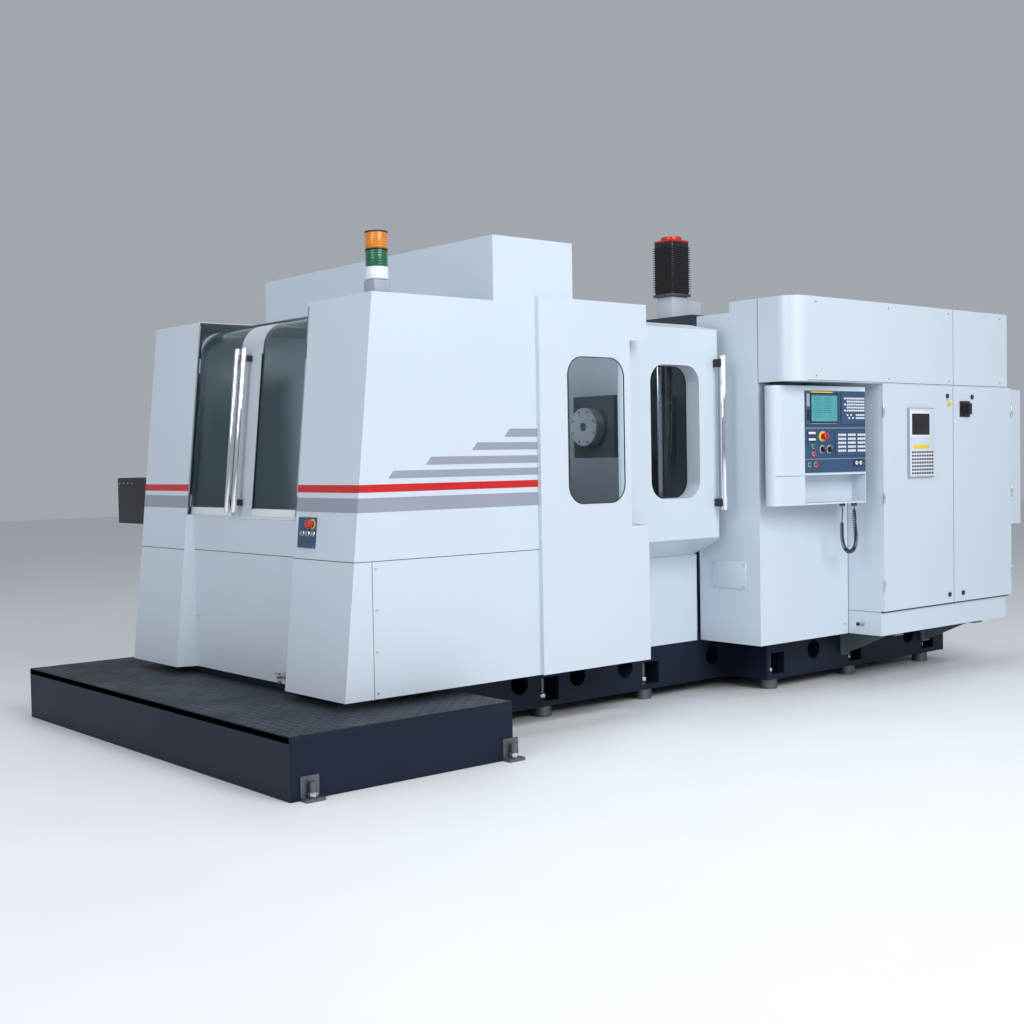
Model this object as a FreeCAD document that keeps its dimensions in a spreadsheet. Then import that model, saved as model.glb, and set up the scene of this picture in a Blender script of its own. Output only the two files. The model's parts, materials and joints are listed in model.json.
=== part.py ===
"""Horizontal machining centre with a twin-pallet changer, as a parametric assembly.

Millimetres, +Z up. The model is laid out from two datums, the machine's centre line (y = 0) and
the top front edge of the setup pillars (near x = 0), and every node is then moved so that the
origin is the bottom centre of the whole machine's box. The setup station is at the -X end, the
electrical cabinet at the +X end, and the operator stands on the -Y side.
"""
import FreeCAD
import Part
import Sketcher

import math
import os
import re

SIZES = {
    # overall stations along X
    "step_reach": 650,          # step in front of the datum
    "panel_length": 1020,       # pillar datum to the end of the name panel
    "window_length": 735,       # window panel after the name panel
    "door_bay": 775,            # operator's opening after the window panel
    "control_bay": 810,         # column side cover to the electrical cabinet
    "cabinet_length": 1395,
    "exchanger_length": 200,
    "rear_wall": 3900,
    # overall heights
    "foot_height": 60,
    "base_height": 240,         # visible base casting above its feet
    "sill_height": 1110,
    "seam_height": 925,
    "cover_top": 2135,
    "hood_height": 315,
    "overhead_height": 467,
    "cabinet_top": 1776,
    # overall depths from the centre line
    "half_width": 1065,
    "base_half": 740,
    "base_wide": 1029,
    "recess_depth": 745,
    "door_front": 985,
    "control_front": 1196,
    "cabinet_front": 1449,
    "conveyor_back": 1785,
    "conveyor_gap": 55,         # from the far side cover to the conveyor
    # sheet metal
    "sheet": 3,
    "flange": 40,
    "plate": 6,
    "panel_proud": 25,
    "play": 0.3,
    "seam": 0.8,
    # step
    "step_half": 1396,
    "step_far": 1329,
    "step_height": 266,
    "step_clearance": 34,       # from the deck to the covers that hang over it
    "step_front_length": 600,
    "step_wing_length": 580,
    "tread": 4,
    "anchor_width": 89,
    "anchor_height": 100,
    "anchor_depth": 55,
    # setup station
    "lean": 0.1027,             # run of the leaning face for each unit of height
    "lean_datum": 28,
    "opening_half": 555,
    "apron_half": 515,
    "apron_place": 55,
    "pillar_inner": 553,
    "door_inset": 20,
    "door_thick": 20,
    "glass": 6,
    "door_hidden": 590,
    "door_meeting": 40,
    "near_stile": 138,
    "far_stile": 68,
    "end_stile": 30,
    "rail_height": 40,
    "glass_top": 2085,
    "glass_reach": 350,
    "glass_bend": 135,
    "bar_radius": 14,
    "bar_low": 1130,
    "bar_high": 2000,
    "bar_standoff": 45,
    # hood and signal tower
    "hood_start": 736,
    "hood_length": 518,
    "tower_along": 105,
    "tower_across": 1000,
    "lens_radius": 53,
    "lens_height": 80,
    "tower_foot": 120,
    # window panel and operator's door
    "window_left": 1185,
    "window_right": 1584,
    "window_low": 1140,
    "window_high": 1887,
    "window_corner": 100,
    "window_panel_top": 2172,
    "window_waist": 1630,
    "waist_low": 1015,
    "waist_high": 1983,
    "door_left": 1640,
    "door_right": 2470,
    "door_low": 914,
    "door_low_back": 803,
    "door_high": 2078,
    "door_high_back": 2130,
    "door_edge": 60,
    "door_window_left": 1888,
    "door_window_right": 2277,
    "door_window_low": 1142,
    "door_window_high": 1875,
    "door_window_corner": 40,
    "reveal_depth": 100,
    "wall_top": 800,
    "wall_edge": 45,
    "handle_along": 2411,
    "handle_low": 1070,
    "handle_high": 1933,
    "handle_radius": 17,
    "handle_standoff": 60,
    # overhead box, cabinet and its fittings
    "side_cover_top": 2183,
    "overhead_length": 2160,
    "overhead_back": 992,
    "overhead_corner": 110,
    "cabinet_low": 444,
    "cabinet_skirt": 144,
    "skirt_short": 35,
    "cabinet_door": 22,
    "door_split": 730,          # width of the left cabinet door
    "cooler_along": 240,
    "cooler_width": 260,
    "cooler_low": 1225,
    "cooler_height": 412,
    "cooler_proud": 15,
    "switch_along": 126,
    "switch_height": 1636,
    "switch_radius": 38,
    "switch_depth": 45,
    "exchanger_low": 896,
    "exchanger_height": 874,
    "exchanger_setback": 50,
    "exchanger_depth": 350,
    "bracket_width": 80,
    "bracket_thick": 12,
    # pendant, in its own frame about its swivel
    "pendant_along": 2596,
    "pendant_across": 1292,
    "pendant_turn": 6,
    "pendant_half": 53,
    "pendant_left": 91,
    "pendant_column": 140,
    "pendant_right": 635,
    "pendant_low": 1088,
    "pendant_split": 1252,
    "pendant_top": 1755,
    "pendant_round": 50,
    "pendant_wall": 4,
    "keypad_low": 1268,
    "keypad_high": 1728,
    "keypad_proud": 3,
    "swivel_radius": 52,
    "estop_radius": 20,
    "estop_height": 30,
    "estop_travel": 6,
    "estop_along": 139,
    "estop_high": 1472,
    "dial_along": 136,
    "dial_pitch": 55,
    "dial_high": 1399,
    "dial_radius": 16,
    "dial_height": 18,
    "gland_radius": 16,
    "gland_length": 20,
    "cord_radius": 13,
    # setup operator box
    "setup_near": 738,
    "setup_width": 148,
    "setup_low": 978,
    "setup_tall": 141,
    "setup_depth": 8,
    "setup_stop_in": 25,        # the stop from the plate's near edge
    "setup_stop_high": 109,     # and above its lower edge
    "setup_button_in": 15,
    "setup_button_high": 65,
    "setup_button_pitch": 46,
    "button_radius": 11,
    "button_height": 10,
    "button_travel": 4,
    # base casting and internal bed
    "base_start": 40,
    "base_step": 2782,
    "base_end": 4600,
    "casting_rise": 40,         # casting hidden behind the covers
    "hole_radius": 57,
    "hole_height": 200,
    "hole_depth": 160,
    "pocket_width": 130,
    "pocket_low": 90,
    "pocket_high": 215,
    "pocket_depth": 130,
    "pad_radius": 50,
    "bolt_radius": 14,
    "bed_top": 640,
    "bed_half": 420,
    "bed_start": 1250,
    "bed_end": 2700,
    "column_bed_top": 700,
    "column_bed_start": 2900,
    "column_bed_end": 3680,
    "column_bed_half": 980,
    "rail_width": 45,
    "rail_tall": 40,
    # pallet changer
    "changer_along": 995,
    "pallet_offset": 600,
    "pallet_side": 500,
    "pallet_thick": 80,
    "pallet_top": 1050,
    "pedestal_radius": 190,
    "pedestal_top": 760,
    "post_radius": 90,
    "post_top": 830,
    "post_shaft": 45,
    "hub_half": 200,
    "prong_in": 190,
    "prong_width": 60,
    "prong_reach": 820,
    "arm_thick": 70,
    "partition_half": 735,
    "partition_top": 1930,
    "partition_thick": 40,
    # table
    "table_along": 2150,
    "saddle_long": 600,
    "saddle_half": 330,
    "saddle_top": 800,
    "table_radius": 172,
    "table_rail": 260,
    # column, head and spindle
    "column_start": 2950,
    "column_length": 650,
    "column_half": 320,
    "column_top": 2256,
    "column_rail_near": 3060,
    "column_rail_far": 3490,
    "slot_half": 90,
    "slot_length": 260,
    "slot_low": 900,
    "slot_high": 2200,
    "screw_along": 3120,
    "screw_radius": 20,
    "screw_play": 0.5,
    "head_start": 2400,
    "head_half": 180,
    "head_tall": 380,
    "spindle_height": 1564,
    "nose_start": 2312,
    "nose_radius": 116,
    "nose_thick": 70,
    "spindle_bore": 60,
    "taper_radius": 25,
    "motor_low": 2403,
    "motor_body": 359,
    "motor_half": 86,
    "motor_cap": 28,
    "lantern_half": 70,
    "way_cover_start": 2700,
    "way_cover_inner": 560,
    "way_cover_thick": 12,
    # tool changer
    "magazine_start": 2100,
    "magazine_thick": 60,
    "magazine_across": 790,
    "magazine_height": 1650,
    "magazine_radius": 170,
    "holder_sink": 7,
    "holder_radius": 24,
    "holder_long": 130,
    "holder_count": 12,
    "arm_start": 2230,
    "arm_plate": 40,
    "arm_across": 500,
    "arm_half_long": 200,
    "arm_half_wide": 30,
    "frame_start": 2300,
    "frame_thick": 10,
    # chip conveyor
    "head_left": 100,
    "head_right": 750,
    "head_low": 1030,
    "head_high": 1303,
    "trough_end": 2500,
    "trough_top": 240,
    "trough_low": 20,
    "trough_depth": 420,
    "inlet_length": 900,
}

# where the long stations fall, as expressions in the sheet's names
SIDE_START = "(panel_length + window_length + door_bay)"
CABINET_START = f"({SIDE_START} + control_bay)"
CABINET_END = f"({CABINET_START} + cabinet_length)"
RIGHT_END = f"({CABINET_END} + exchanger_length)"
BASE_TOP = "(foot_height + base_height)"
CASTING_TOP = f"({BASE_TOP} + casting_rise)"
COVER_FOOT = "(step_height + step_clearance)"
CABINET_BACK = "(-base_wide - seam)"
SHIFT_X = f"(step_reach - {RIGHT_END}) / 2"
SHIFT_Y = "(cabinet_front + switch_depth - conveyor_back) / 2"

doc = FreeCAD.newDocument("MachiningCentre")
sheet = doc.addObject("Spreadsheet::Sheet", "Sizes")
for row, (alias, number) in enumerate(SIZES.items(), start=1):
    sheet.set(f"A{row}", alias)
    sheet.set(f"B{row}", str(number))
    sheet.setAlias(f"B{row}", alias)
doc.recompute()

nodes = []


def size(alias):
    """The number that the sheet holds under a name."""
    return float(sheet.get(alias))


def bound(expression):
    """The expression with each name read from the sheet."""
    return re.sub(r"\b(?!cos\b|sin\b)[a-z][a-z_]*\b", lambda found: "Sizes." + found.group(0), str(expression))


def bind(target, **places):
    """Bind properties of an object to expressions; x, y and z are its place."""
    for key, expression in places.items():
        name = f".Placement.Base.{key}" if key in ("x", "y", "z") else key
        target.setExpression(name, bound(expression))
    return target


def box(name, x_low, x_high, y_low, y_high, z_low, z_high):
    """A block between three pairs of planes."""
    made = doc.addObject("Part::Box", name)
    return bind(made, Length=f"({x_high}) - ({x_low})", Width=f"({y_high}) - ({y_low})",
                Height=f"({z_high}) - ({z_low})", x=x_low, y=y_low, z=z_low)


TURNS = {
    "x": FreeCAD.Rotation(FreeCAD.Vector(0, 1, 0), 90),
    "y": FreeCAD.Rotation(FreeCAD.Vector(1, 0, 0), -90),
    "z": FreeCAD.Rotation(),
}


def rod(name, along, radius, low, high, first, second):
    """A round bar along one axis; first and second are its place on the other two axes."""
    made = doc.addObject("Part::Cylinder", name)
    made.Placement = FreeCAD.Placement(FreeCAD.Vector(), TURNS[along])
    other = [axis for axis in "xyz" if axis != along]
    places = {along: low, other[0]: first, other[1]: second}
    return bind(made, Radius=radius, Height=f"({high}) - ({low})", **places)


def fuse(name, *pieces):
    made = doc.addObject("Part::MultiFuse", name)
    made.Shapes = list(pieces)
    return made


def cut(name, base, *tools):
    made = doc.addObject("Part::Cut", name)
    made.Base = base
    made.Tool = tools[0] if len(tools) == 1 else fuse(name + "Tools", *tools)
    return made


SKETCH_PLANES = {"x": "YZ_Plane", "y": "XZ_Plane", "z": "XY_Plane"}


def prism(name, along, points, low, high):
    """A PartDesign pad of a constrained outline, run between two planes along one axis."""
    body = doc.addObject("PartDesign::Body", name)
    sketch = body.newObject("Sketcher::SketchObject", name + "Outline")
    plane = next(item for item in body.Origin.OriginFeatures if item.Role == SKETCH_PLANES[along])
    sketch.AttachmentSupport = [(plane, "")]
    sketch.MapMode = "FlatFace"
    count = len(points)
    start = [FreeCAD.Vector(math.cos(2 * math.pi * turn / count), math.sin(2 * math.pi * turn / count), 0)
             for turn in range(count)]
    for corner in range(count):
        sketch.addGeometry(Part.LineSegment(start[corner], start[(corner + 1) % count]), False)
    for corner in range(count):
        sketch.addConstraint(Sketcher.Constraint("Coincident", corner, 2, (corner + 1) % count, 1))
    for corner, pair in enumerate(points):
        for kind, expression in zip(("DistanceX", "DistanceY"), pair):
            index = sketch.addConstraint(Sketcher.Constraint(kind, -1, 1, corner, 1, 1.0))
            sketch.setExpression(f"Constraints[{index}]", bound(expression))
    pad = body.newObject("PartDesign::Pad", name + "Pad")
    pad.Profile = sketch
    pad.setExpression("Length", bound(f"({high}) - ({low})"))
    return bind(body, **{along: high if along == "y" else low})


def edges_at(shape, **places):
    """The numbers of the straight edges whose two ends lie on the given planes."""
    found = []
    for number, edge in enumerate(shape.Edges, start=1):
        ends = [vertex.Point for vertex in edge.Vertexes]
        if len(ends) == 2 and all(abs(getattr(end, key) - place) < 0.01
                                  for end in ends for key, place in places.items()):
            found.append(number)
    return found


def rounded(name, base, radius, *corners):
    """Fillet the edges that lie along each corner, given as planes in millimetres."""
    doc.recompute()
    numbers = [number for corner in corners for number in edges_at(base.Shape, **corner)]
    if not numbers:
        raise RuntimeError(f"{name}: no edge to round")
    made = doc.addObject("Part::Fillet", name)
    made.Base = base
    made.Edges = [(number, radius, radius) for number in numbers]
    return made


def solid(name, shape):
    """A piece whose shape is worked out here from the sheet's sizes."""
    made = doc.addObject("Part::Feature", name)
    made.Shape = shape
    return made


def node(name, *pieces):
    """One sub-part: its solids, moved together so that the origin is the machine's own."""
    made = doc.addObject("Part::Compound", "Node" + name.title().replace("_", ""))
    made.Links = list(pieces)
    made.Label = name
    bind(made, x=SHIFT_X, y=SHIFT_Y)
    nodes.append(made)
    return made


def window(name, left, right, low, high, radius, y_low, y_high):
    """A cutting tool with rounded corners for an opening in a sheet that faces the operator."""
    block = box(name + "Block", left, right, y_low, y_high, low, high)
    places = [{"x": x, "z": z} for x in (size(left), size(right)) for z in (size(low), size(high))]
    return rounded(name, block, size(radius), *places)


# ---------------------------------------------------------------- base casting and step
def base_casting():
    narrow = box("BaseNarrow", "-base_start", "base_step", "-base_half", "base_half",
                 "foot_height", CASTING_TOP)
    wide = box("BaseWide", "base_step", "base_end", "-base_wide", "base_wide", "foot_height", CASTING_TOP)
    table_bed = box("TableBed", "bed_start", "bed_end", "-bed_half", "bed_half", CASTING_TOP, "bed_top")
    column_bed = box("ColumnBed", "column_bed_start", "column_bed_end", "-column_bed_half",
                     "column_bed_half", CASTING_TOP, "column_bed_top")
    bridge = box("BedBridge", "bed_end", "column_bed_start", "-bed_half", "bed_half", CASTING_TOP, "bed_top")
    tools = []
    for number, (along, face) in enumerate(HOLES):
        for side in (-1, 1):
            outer, inner = f"{side} * {face}", f"{side} * ({face} - hole_depth)"
            low, high = (outer, inner) if side < 0 else (inner, outer)
            tools.append(rod(f"LiftHole{number}{side + 1}", "y", "hole_radius", low, high, along, "hole_height"))
    for number, (along, face) in enumerate(POCKETS):
        for side in (-1, 1):
            outer, inner = f"{side} * {face}", f"{side} * ({face} - pocket_depth)"
            low, high = (outer, inner) if side < 0 else (inner, outer)
            tools.append(box(f"Pocket{number}{side + 1}", f"{along} - pocket_width / 2",
                             f"{along} + pocket_width / 2", low, high, "pocket_low", "pocket_high"))
    whole = fuse("BaseWhole", narrow, wide, table_bed, column_bed, bridge)
    node("base_casting", cut("BaseCasting", whole, *tools))


HOLES = [(1135, "base_half"), (1548, "base_half"), (1910, "base_half"), (2635, "base_half"),
         (3217, "base_wide"), (4200, "base_wide")]
POCKETS = [(300, "base_half"), (1344, "base_half"), (2112, "base_half"), (2874, "base_wide"),
           (3630, "base_wide"), (4420, "base_wide")]
ANCHORS = [-560, 512]


def leveling_feet():
    pieces = []
    for number, (along, face) in enumerate(POCKETS):
        for side in (-1, 1):
            across = f"{side} * ({face} - pocket_depth / 2)"
            pieces.append(rod(f"Pad{number}{side + 1}", "z", "pad_radius", "0", "foot_height", along, across))
            pieces.append(rod(f"LevelBolt{number}{side + 1}", "z", "bolt_radius", "pocket_low",
                              "pocket_high - bolt_radius", along, across))
    for number, middle in enumerate(ANCHORS):
        left, right = f"{middle} - anchor_width / 2", f"{middle} + anchor_width / 2"
        back = "-step_half"
        foot = box(f"AnchorFoot{number}", left, right, f"{back} - anchor_depth", back, "0", "bolt_radius")
        upright = box(f"AnchorBack{number}", left, right, f"{back} - plate", back, "0", "anchor_height")
        bolt = rod(f"AnchorBolt{number}", "z", "bolt_radius", "bolt_radius", "anchor_height * 0.8", middle,
                   f"{back} - anchor_depth / 2")
        pieces.append(fuse(f"Anchor{number}", foot, upright, bolt))
    node("leveling_feet", *pieces)


def step_outline(inset):
    """The U-shaped step, which wraps the near end of the base."""
    inner = f"(base_half + play + {inset})"
    front = f"(step_front_length - step_reach - {inset})"
    wing = f"(step_front_length + step_wing_length - step_reach - {inset})"
    left, low, high = f"(-step_reach + {inset})", f"(-step_half + {inset})", f"(step_far - {inset})"
    return [(left, low), (wing, low), (wing, f"-{inner}"), (front, f"-{inner}"), (front, inner),
            (wing, inner), (wing, high), (left, high)]


def step():
    outer = prism("StepOuter", "z", step_outline("0"), "0", "step_height - tread")
    inner = prism("StepInner", "z", step_outline("tread"), "-tread", "step_height - 2 * tread")
    node("step_platform", cut("StepBody", outer, inner))
    node("tread_plate", prism("TreadPlate", "z", step_outline("0"), "step_height - tread", "step_height"))


# ---------------------------------------------------------------- covers of the setup station
def lean_at(height, inset="0"):
    """X of the leaning face at a height, as an expression; inset runs into the machine."""
    return f"(lean_datum - (cover_top - ({height})) * lean + ({inset}))"


def side_sheet(name, start_low, start_high, low, high, across):
    """A flat side panel whose front edge leans."""
    points = [(start_low, low), ("panel_length", low), ("panel_length", high), (start_high, high)]
    return prism(name, "y", points, across, f"{across} + sheet")


def leaning_sheet(name, low, high, y_low, y_high, thick="sheet", inset="0"):
    points = [(lean_at(low, inset), low), (lean_at(low, f"{inset} + {thick}"), low),
              (lean_at(high, f"{inset} + {thick}"), high), (lean_at(high, inset), high)]
    return prism(name, "y", points, y_low, y_high)


def pillar_side(label, side):
    """Upper pillar with its side panel, the lower wrap, and the far end of the lower panel."""
    face = "-half_width" if side < 0 else "half_width - sheet"
    inner, outer = f"{side} * pillar_inner", f"{side} * half_width"
    y_low, y_high = (outer, inner) if side < 0 else (inner, outer)
    gap = "seam_height - seam"
    upper = fuse(label + "Upper", side_sheet(label + "UpperSide", lean_at("seam_height"), lean_at("cover_top"),
                                             "seam_height", "cover_top", face),
                 leaning_sheet(label + "UpperFace", "seam_height", "cover_top", y_low, y_high))
    wrap_side = prism(label + "WrapSide", "y", [(lean_at(COVER_FOOT), COVER_FOOT), ("-seam", COVER_FOOT),
                                                ("-seam", gap), (lean_at(gap), gap)], face, f"{face} + sheet")
    wrap = fuse(label + "Wrap", wrap_side, leaning_sheet(label + "WrapFace", COVER_FOOT, gap, y_low, y_high))
    lower = box(label + "Lower", "0", "panel_length", face, f"{face} + sheet", COVER_FOOT, gap)
    return [upper, wrap, lower]


def side_covers():
    node("near_side_covers", *pillar_side("Near", -1))
    long_wall = box("FarWall", "panel_length + seam", "rear_wall", "half_width - sheet", "half_width",
                    BASE_TOP, "cover_top")
    node("far_side_covers", *pillar_side("Far", 1), long_wall)
    rear = box("RearWall", "rear_wall", "rear_wall + sheet", "-overhead_back", "half_width", CASTING_TOP,
               "cover_top")
    corner = box("RearCorner", "rear_wall", "rear_wall + sheet", "-base_wide", "-overhead_back", CASTING_TOP,
                 "cabinet_top")
    node("rear_covers", fuse("RearCover", rear, corner))


def setup_aprons():
    place, gap = "-apron_place", "seam_height - seam"
    lower = box("ApronLower", place, f"{place} + sheet", "-apron_half", "apron_half", COVER_FOOT, gap)
    face = box("ApronFace", place, f"{place} + sheet", "-apron_half", "apron_half", "seam_height", "sill_height")
    sill = box("ApronSill", place, f"{place} + flange", "-apron_half", "apron_half",
               "sill_height - sheet", "sill_height")
    pieces = [lower, fuse("ApronUpper", face, sill)]
    low, high = size("step_height") + size("step_clearance"), size("sill_height")
    for side in (-1, 1):
        loops = []
        for height in (low, high):
            lean_x = size("lean_datum") - (size("cover_top") - height) * size("lean")
            near = FreeCAD.Vector(-size("apron_place"), side * (size("apron_half") + size("play")), height)
            far = FreeCAD.Vector(lean_x, side * (size("pillar_inner") - size("play")), height)
            depth = FreeCAD.Vector(size("sheet"), 0, 0)
            loops.append(Part.makePolygon([near, far, far + depth, near + depth, near]))
        pieces.append(solid(f"ApronFold{side + 1}", Part.makeLoft(loops, True, True)))
    node("setup_aprons", *pieces)


def curved_sheet(name, y_low, y_high, low, inset, thick):
    """A sheet that follows the leaning face and bends over into the roof in one arc."""
    lean, datum, top = size("lean"), size("lean_datum"), size("cover_top")

    def face_x(height, depth):
        return datum - (top - height) * lean + depth

    outer_top, inner_top = size("glass_top"), size("glass_top") - thick
    corners = [(face_x(low, inset), low), (face_x(outer_top, inset), outer_top),
               (size("glass_reach"), outer_top), (size("glass_reach"), inner_top),
               (face_x(inner_top, inset + thick), inner_top), (face_x(low, inset + thick), low)]
    loop = Part.makePolygon([FreeCAD.Vector(x, y_low, z) for x, z in corners + corners[:1]])
    band = Part.Face(loop).extrude(FreeCAD.Vector(0, y_high - y_low, 0))
    bend = size("glass_bend")
    outer = [band.Edges[number - 1] for number in edges_at(band, x=corners[1][0], z=outer_top)]
    band = band.makeFillet(bend, outer)
    inner = [band.Edges[number - 1] for number in edges_at(band, x=corners[4][0], z=inner_top)]
    return solid(name, band.makeFillet(bend - thick, inner))


def handle_bar(name, across):
    """A chrome bar that stands off a setup door on two brackets."""
    lean, datum, top = size("lean"), size("lean_datum"), size("cover_top")
    turn = math.atan(lean)
    ends = [FreeCAD.Vector(datum - (top - height) * lean + size("door_inset") - size("bar_standoff"), across,
                           height) for height in (size("bar_low"), size("bar_high") - size("bar_standoff"))]
    direction = ends[1] - ends[0]
    bar = Part.makeCylinder(size("bar_radius"), direction.Length, ends[0], direction)
    half, tall = size("bar_radius") * 0.8, size("bar_radius") * 2
    reach = size("bar_standoff") + size("door_thick") / 2
    for share in (0.06, 0.94):
        block = Part.makeBox(reach, 2 * half, tall, FreeCAD.Vector(0, -half, -tall / 2))
        block.Placement = FreeCAD.Placement(ends[0] + direction * share,
                                            FreeCAD.Rotation(FreeCAD.Vector(0, 1, 0), math.degrees(turn)))
        bar = bar.fuse(block)
    return bar


def setup_door(label, side):
    """One half of the setup door: its stiles and bottom rail in one frame, with the handle bar."""
    thick, inset, low = size("door_thick"), size("door_inset"), size("sill_height") + size("seam")
    meeting, hidden, end = size("door_meeting"), size("door_hidden"), size("end_stile")
    if side < 0:
        stile = (meeting - size("seam") - size("near_stile"), meeting - size("seam"))
        last = (-hidden, -hidden + end)
        glass = (last[1], stile[0])
    else:
        stile = (meeting, meeting + size("far_stile"))
        last = (hidden - end, hidden)
        glass = (stile[1], last[0])
    rail_top = low + size("rail_height")
    frame = curved_sheet(label + "Stile", *stile, low, inset, thick).Shape
    frame = frame.fuse(curved_sheet(label + "End", *last, low, inset, thick).Shape)
    lean, datum, top = size("lean"), size("lean_datum"), size("cover_top")
    corners = [(datum - (top - height) * lean + inset + depth, height)
               for height, depth in ((low, 0), (low, thick), (rail_top, thick), (rail_top, 0))]
    loop = Part.makePolygon([FreeCAD.Vector(x, last[0], z) for x, z in corners + corners[:1]])
    rail = Part.Face(loop).extrude(FreeCAD.Vector(0, stile[1] - last[0], 0))
    frame = frame.fuse(rail).removeSplitter()
    bar_across = stile[1] - size("far_stile") / 2
    bar = handle_bar(label + "Bar", bar_across).cut(frame)
    node(f"setup_door_{label.lower()}", solid(label + "Frame", frame), solid(label + "Handle", bar))
    pane = curved_sheet(label + "Pane", *glass, rail_top, inset + size("glass"), size("glass"))
    node(f"setup_glass_{label.lower()}", pane)


def setup_roof():
    plate = box("RoofPlate", "lean_datum", "panel_length", "-half_width", "half_width", "cover_top",
                "cover_top + sheet")
    mouth = box("RoofMouth", "0", "glass_reach", "-opening_half", "opening_half", "cover_top - sheet",
                "cover_top + flange")
    far = box("RoofFar", "panel_length", "rear_wall + sheet", "half_width - flange", "half_width",
              "cover_top", "cover_top + sheet")
    node("setup_roof", cut("RoofSheet", fuse("RoofWhole", plate, far), mouth))


def hood_box():
    outer = box("HoodOuter", "hood_start", "hood_start + hood_length", "-half_width", "half_width",
                "cover_top + sheet", "cover_top + sheet + hood_height")
    inner = box("HoodInner", "hood_start + sheet", "hood_start + hood_length - sheet",
                "-half_width + sheet", "half_width - sheet", "cover_top", "cover_top + hood_height")
    node("hood_box", cut("Hood", outer, inner))


def signal_tower():
    base = "(cover_top + sheet)"
    foot = box("TowerFoot", "tower_along - lens_radius * 0.85", "tower_along + lens_radius * 0.85",
               "-tower_across - lens_radius * 0.85", "-tower_across + lens_radius * 0.85", base,
               f"{base} + tower_foot / 2")
    collar = rod("TowerCollar", "z", "lens_radius", f"{base} + tower_foot / 2", f"{base} + tower_foot",
                 "tower_along", "-tower_across")
    pieces = [fuse("TowerBase", foot, collar)]
    for tier in (0, 1):
        low = f"{base} + tower_foot + {tier} * lens_height"
        pieces.append(rod(f"Lens{tier}", "z", "lens_radius", low, f"{low} + lens_height", "tower_along",
                          "-tower_across"))
    node("signal_tower", *pieces)


# ---------------------------------------------------------------- operator's side
WINDOW_FACE = "(-half_width - panel_proud)"
PANEL_END = "(panel_length + window_length)"


def window_panel():
    left = "(panel_length - flange / 2)"
    outline = [(left, BASE_TOP), (PANEL_END, BASE_TOP), (PANEL_END, "waist_low"), ("window_waist", "waist_low"),
               ("window_waist", "waist_high"), (PANEL_END, "waist_high"), (PANEL_END, "window_panel_top"),
               (left, "window_panel_top")]
    face = prism("WindowSheet", "y", outline, WINDOW_FACE, f"{WINDOW_FACE} + sheet")
    fold = box("WindowFold", left, f"{left} + sheet", WINDOW_FACE, "-half_width", BASE_TOP, "window_panel_top")
    cap = box("WindowCap", left, PANEL_END, WINDOW_FACE, "-half_width", "window_panel_top - sheet",
              "window_panel_top")
    low_return = box("WindowReturn", f"{PANEL_END} - sheet", PANEL_END, WINDOW_FACE, "-recess_depth",
                     BASE_TOP, "wall_top")
    jamb = box("WindowJamb", f"{PANEL_END} - sheet", PANEL_END, WINDOW_FACE, "-door_front - play",
               "wall_top", "waist_low")
    sill = box("WindowSill", "panel_length + seam", f"{PANEL_END} - sheet", WINDOW_FACE, "-recess_depth",
               "wall_top - sheet", "wall_top")
    opening = window("WindowOpening", "window_left", "window_right", "window_low", "window_high",
                     "window_corner", f"{WINDOW_FACE} - 1", f"{WINDOW_FACE} + sheet + 1")
    whole = fuse("WindowWhole", face, fold, cap, low_return, jamb, sill)
    node("window_panel", cut("WindowPanel", whole, opening))
    lap = "flange / 2"
    glass_low = f"{WINDOW_FACE} + sheet"
    node("window_panel_glass", box("WindowGlass", f"window_left - {lap}", f"window_right + {lap}", glass_low,
                                   f"{glass_low} + glass", f"window_low - {lap}", f"window_high + {lap}"))


def operator_door():
    def outline(inset):
        return [(f"-door_front + {inset}", f"door_low + {inset}"), ("-recess_depth - seam", f"door_low_back + {inset}"),
                ("-recess_depth - seam", f"door_high_back - {inset}"), (f"-door_front + {inset}", f"door_high - {inset}")]

    front, thick, edge = -size("door_front"), size("sheet"), size("door_edge")
    outer = rounded("DoorOuter", prism("DoorBlock", "x", outline("0"), "door_left", "door_right"), edge,
                    {"x": size("door_right"), "y": front})
    inner_points = outline("sheet")
    inner_points[1] = ("-recess_depth + 1", inner_points[1][1])
    inner_points[2] = ("-recess_depth + 1", inner_points[2][1])
    inner = rounded("DoorInner", prism("DoorHollow", "x", inner_points, "door_left - 1", "door_right - sheet"),
                    edge - thick, {"x": size("door_right") - thick, "y": front + thick})
    opening = window("DoorOpening", "door_window_left", "door_window_right", "door_window_low",
                     "door_window_high", "door_window_corner", "-door_front - 1", "-door_front + sheet + 1")
    skin = cut("DoorSkin", outer, inner, opening)
    sleeve_low, sleeve_high = "-door_front + sheet", "-door_front + reveal_depth"
    sleeve = box("SleeveOuter", "door_window_left - sheet", "door_window_right + sheet", sleeve_low, sleeve_high,
                 "door_window_low - sheet", "door_window_high + sheet")
    hollow = box("SleeveInner", "door_window_left", "door_window_right", f"{sleeve_low} - 1",
                 f"{sleeve_high} + 1", "door_window_low", "door_window_high")
    shell = fuse("DoorShell", skin, cut("Sleeve", sleeve, hollow))
    along, stand = "handle_along", "-door_front - handle_standoff"
    pieces = [rod("HandleBar", "z", "handle_radius", "handle_low", "handle_high", along, stand)]
    for end, height in (("Low", "handle_low + flange"), ("High", "handle_high - flange")):
        pieces.append(box(f"HandleFoot{end}", f"{along} - handle_radius", f"{along} + handle_radius", stand,
                          "-door_front", f"{height} - flange / 2", f"{height} + flange / 2"))
    node("operator_door", shell, fuse("DoorHandle", *pieces))
    node("operator_door_glass", box("DoorGlass", "door_window_left - sheet", "door_window_right + sheet",
                                    sleeve_high, f"{sleeve_high} + glass", "door_window_low - sheet",
                                    "door_window_high + sheet"))


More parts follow.
